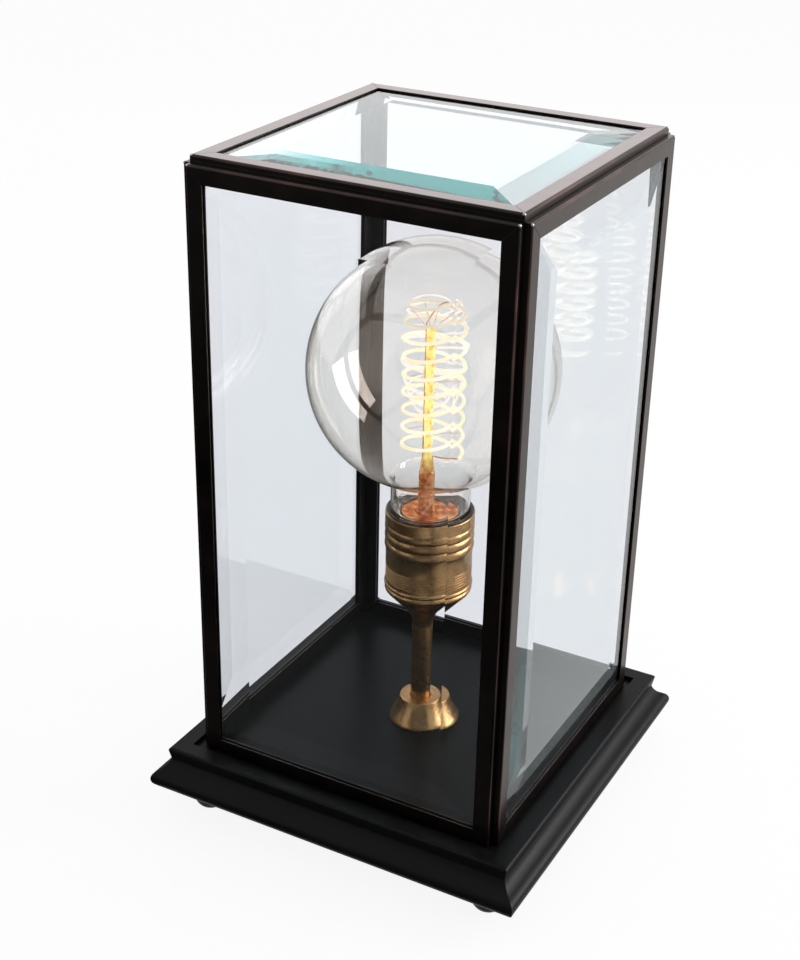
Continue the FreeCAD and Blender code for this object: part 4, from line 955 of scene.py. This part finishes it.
# Small drops of solder tack the frames together where their mitres meet at the four top
# corners, two under each corner of the lid and one on it.
drop_radius, drop_sink = 0.0008, 0.0007
drops = []
for x, y in corners:
    for out, back, up in ((cover_out, cover_half, side_top), (cover_half, cover_out, side_top),
                          (cover_half, cover_half, lid_top)):
        place = (x * (out - drop_sink), y * (back - drop_sink), up - drop_sink)
        bpy.ops.mesh.primitive_uv_sphere_add(segments=16, ring_count=8, radius=drop_radius,
                                             location=place)
        drops.append(bpy.context.object)
drops = join(drops, "solder_drops")
bpy.ops.object.transform_apply()
soften(drops, 0, solder)
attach(drops, "cover")

# --- Panes ---
# Five plates of float glass a little over 4 mm thick, with a polished bevel 25 mm wide round
# the outside, held in the channels of their frames.

# Float glass: clear when looked through, blue green where light runs along inside it.
pane_glass, tree, shader = finish("bevelled float glass", {
    "Base Color": colour("#fff9fc"), "Roughness": 0, "IOR": 1.52, "Transmission Weight": 1})
output = let_light_in(tree, shader, colour("#f6faf9"))
cast = add(tree, "VolumeAbsorption", {"Color": (0.2, 0.77, 0.76, 1), "Density": 27})
tree.links.new(cast.outputs[0], output.inputs["Volume"])
coat(pane_glass, "front_pane", "right_pane", "back_pane", "left_pane", "lid_pane")

# --- Studio ---
# A white floor that keeps a light shadow, a white room, a soft lamp on the right, a weak one
# behind, and two tall windows that only gloss shows. A dark cloth on the floor in front and on
# the left, and a grey one hung behind the camera, show in reflections alone.
floor_half = 6
floor = plane("floor", 2 * floor_half, 0)
bpy.ops.object.mode_set(mode="OBJECT")
paper, tree, shader = finish("matt white paper", {"Base Color": colour("#f0f0f0"),
                                                  "Roughness": 0.9, "Specular IOR Level": 0.1})
floor_share, floor_strength, more_through_glass, less_in_gloss = 0.88, 1.02, 0.08, 0.25
path = add(tree, "LightPath")
seen = path.outputs["Is Camera Ray"]
for kind in ("Is Glossy Ray", "Is Transmission Ray"):
    seen = add(tree, "Math", {"operation": "MAXIMUM"}, {0: seen, 1: path.outputs[kind]}).outputs[0]
part_seen = add(tree, "Math", {"operation": "MULTIPLY", 1: floor_share}, {0: seen})
through = add(tree, "Math", {"operation": "MULTIPLY_ADD", 1: more_through_glass,
                             2: floor_strength}, {0: path.outputs["Is Transmission Ray"]})
strength = add(tree, "Math", {"operation": "MULTIPLY_ADD", 1: -less_in_gloss},
               {0: has_met(tree, "Glossy Depth"), 2: through.outputs[0]})
white = add(tree, "Emission", {"Color": (1, 1, 1, 1)}, {"Strength": strength.outputs[0]})
choose(tree, part_seen.outputs[0], shader, white)
floor.data.materials.append(paper)

# The cloth is grey near the lamp, black half a metre out and grey again far off. What stands
# behind the glass finds a pale patch on it in front.
velvet, tree, shader = finish("dark cloth", {"Roughness": 1, "Specular IOR Level": 0})
place = add(tree, "TexCoord").outputs["Object"]
far = add(tree, "VectorMath", {"operation": "LENGTH"}, {0: place})
outer = add(tree, "ValToRGB", {
    "stops": [(0.2, "#5c5c5c"), (0.5, "#0c0c0c"), (1, "#5a5a5a")]}, {"Fac": far.outputs["Value"]})
from_patch = add(tree, "VectorMath", {"operation": "DISTANCE", 1: (0.19, -0.355, 0)}, {0: place})
inner = add(tree, "ValToRGB", {
    "stops": [(0.1, "#f4f4f4"), (0.24, "#3c3c3c"), (1, "#707070")]},
    {"Fac": from_patch.outputs["Value"]})
tone = add(tree, "Mix", {"data_type": "RGBA"},
           {"Factor": has_met(tree, "Transmission Depth"), 6: outer.outputs[0],
            7: inner.outputs[0]})
tree.links.new(tone.outputs[2], shader.inputs["Base Color"])
nothing = add(tree, "BsdfTransparent")
choose(tree, has_met(tree, "Glossy Depth"), nothing, shader)
near, far, above = plinth_half + 0.004, 3, 0.001
front_far, front_right, left_back = 2.5, 0.35, 0.9
for name, size, place, turned in (
        ("cloth_front", (front_right + far, front_far - near),
         ((front_right - far) / 2, -(front_far + near) / 2, above), (0, 0, 0)),
        ("cloth_left", (far - near, left_back + near),
         (-(far + near) / 2, (left_back - near) / 2, above), (0, 0, 0)),
        ("cloth_behind", (2.4, 1.3), (0.55, -1.41, 0.75), (quarter, 0, math.radians(27)))):
    cloth = plane(name, 1, 0)
    bpy.ops.object.mode_set(mode="OBJECT")
    settle(cloth, place, turned, (*size, 1))
    cloth.data.materials.append(velvet)
    cloth.visible_camera = cloth.visible_diffuse = cloth.visible_shadow = False

world = bpy.data.worlds.new("white room")
bpy.context.scene.world = world
world.use_nodes = True
tree = world.node_tree
tree.nodes.clear()
path = add(tree, "LightPath")
soft_strength, seen_strength = 0.7, 1.06
strength = add(tree, "Math", {"operation": "MULTIPLY_ADD", 1: soft_strength - seen_strength,
                              2: seen_strength}, {0: path.outputs["Is Diffuse Ray"]})
room = add(tree, "Background", {"Color": (1, 1, 1, 1)}, {"Strength": strength.outputs[0]})
add(tree, "OutputWorld", None, {"Surface": room.outputs[0]})


def lamp(name, bearing, low, high, distance, wide, brightness):
    """A soft rectangular lamp at a compass bearing, from a low to a high edge, facing in."""
    turned = math.radians(bearing)
    centre = (distance * math.cos(turned), distance * math.sin(turned), (low + high) / 2)
    bpy.ops.object.light_add(type="AREA", location=centre, rotation=(quarter, 0, turned + quarter))
    light = bpy.context.object
    light.name = name
    light.data.shape = "RECTANGLE"
    light.data.size = wide
    light.data.size_y = high - low
    light.data.energy = brightness * math.pi * wide * (high - low)
    return light


right_lamp = lamp("right_lamp", 35, low=0.5, high=1.7, distance=1.6, wide=0.9, brightness=6)
right_lamp.visible_glossy = right_lamp.visible_transmission = False
lamp("back_lamp", 118, low=0.3, high=1.7, distance=1.7, wide=2.2, brightness=0.3)
for name, bearing, wide in (("window_wide", 20, 0.5), ("window_narrow", 39.5, 0.4)):
    window = lamp(name, bearing, low=0.02, high=1.45, distance=1.6, wide=wide, brightness=10)
    window.visible_diffuse = False

# --- Camera ---
# A long lens a good half metre above the table, turned a little to the right of the front.
azimuth, elevation, roll = math.radians(28.17), math.radians(26.37), math.radians(1.26)
bpy.ops.object.camera_add()
camera = bpy.context.object
camera.data.lens = 62.62
camera.data.sensor_width = 36
camera.matrix_world = (Matrix.Translation((0.3534, -0.6911, 0.5662))
                       @ Matrix.Rotation(azimuth, 4, "Z")
                       @ Matrix.Rotation(quarter - elevation, 4, "X")
                       @ Matrix.Rotation(roll, 4, "Z"))
bpy.context.scene.camera = camera
bpy.context.scene.view_settings.view_transform = "Standard"

# Light that enters a bevel runs on between the faces of the plate, so it may bounce often.
cycles = bpy.context.scene.cycles
cycles.max_bounces = cycles.glossy_bounces = cycles.transmission_bounces = 48
cycles.transparent_max_bounces = 32
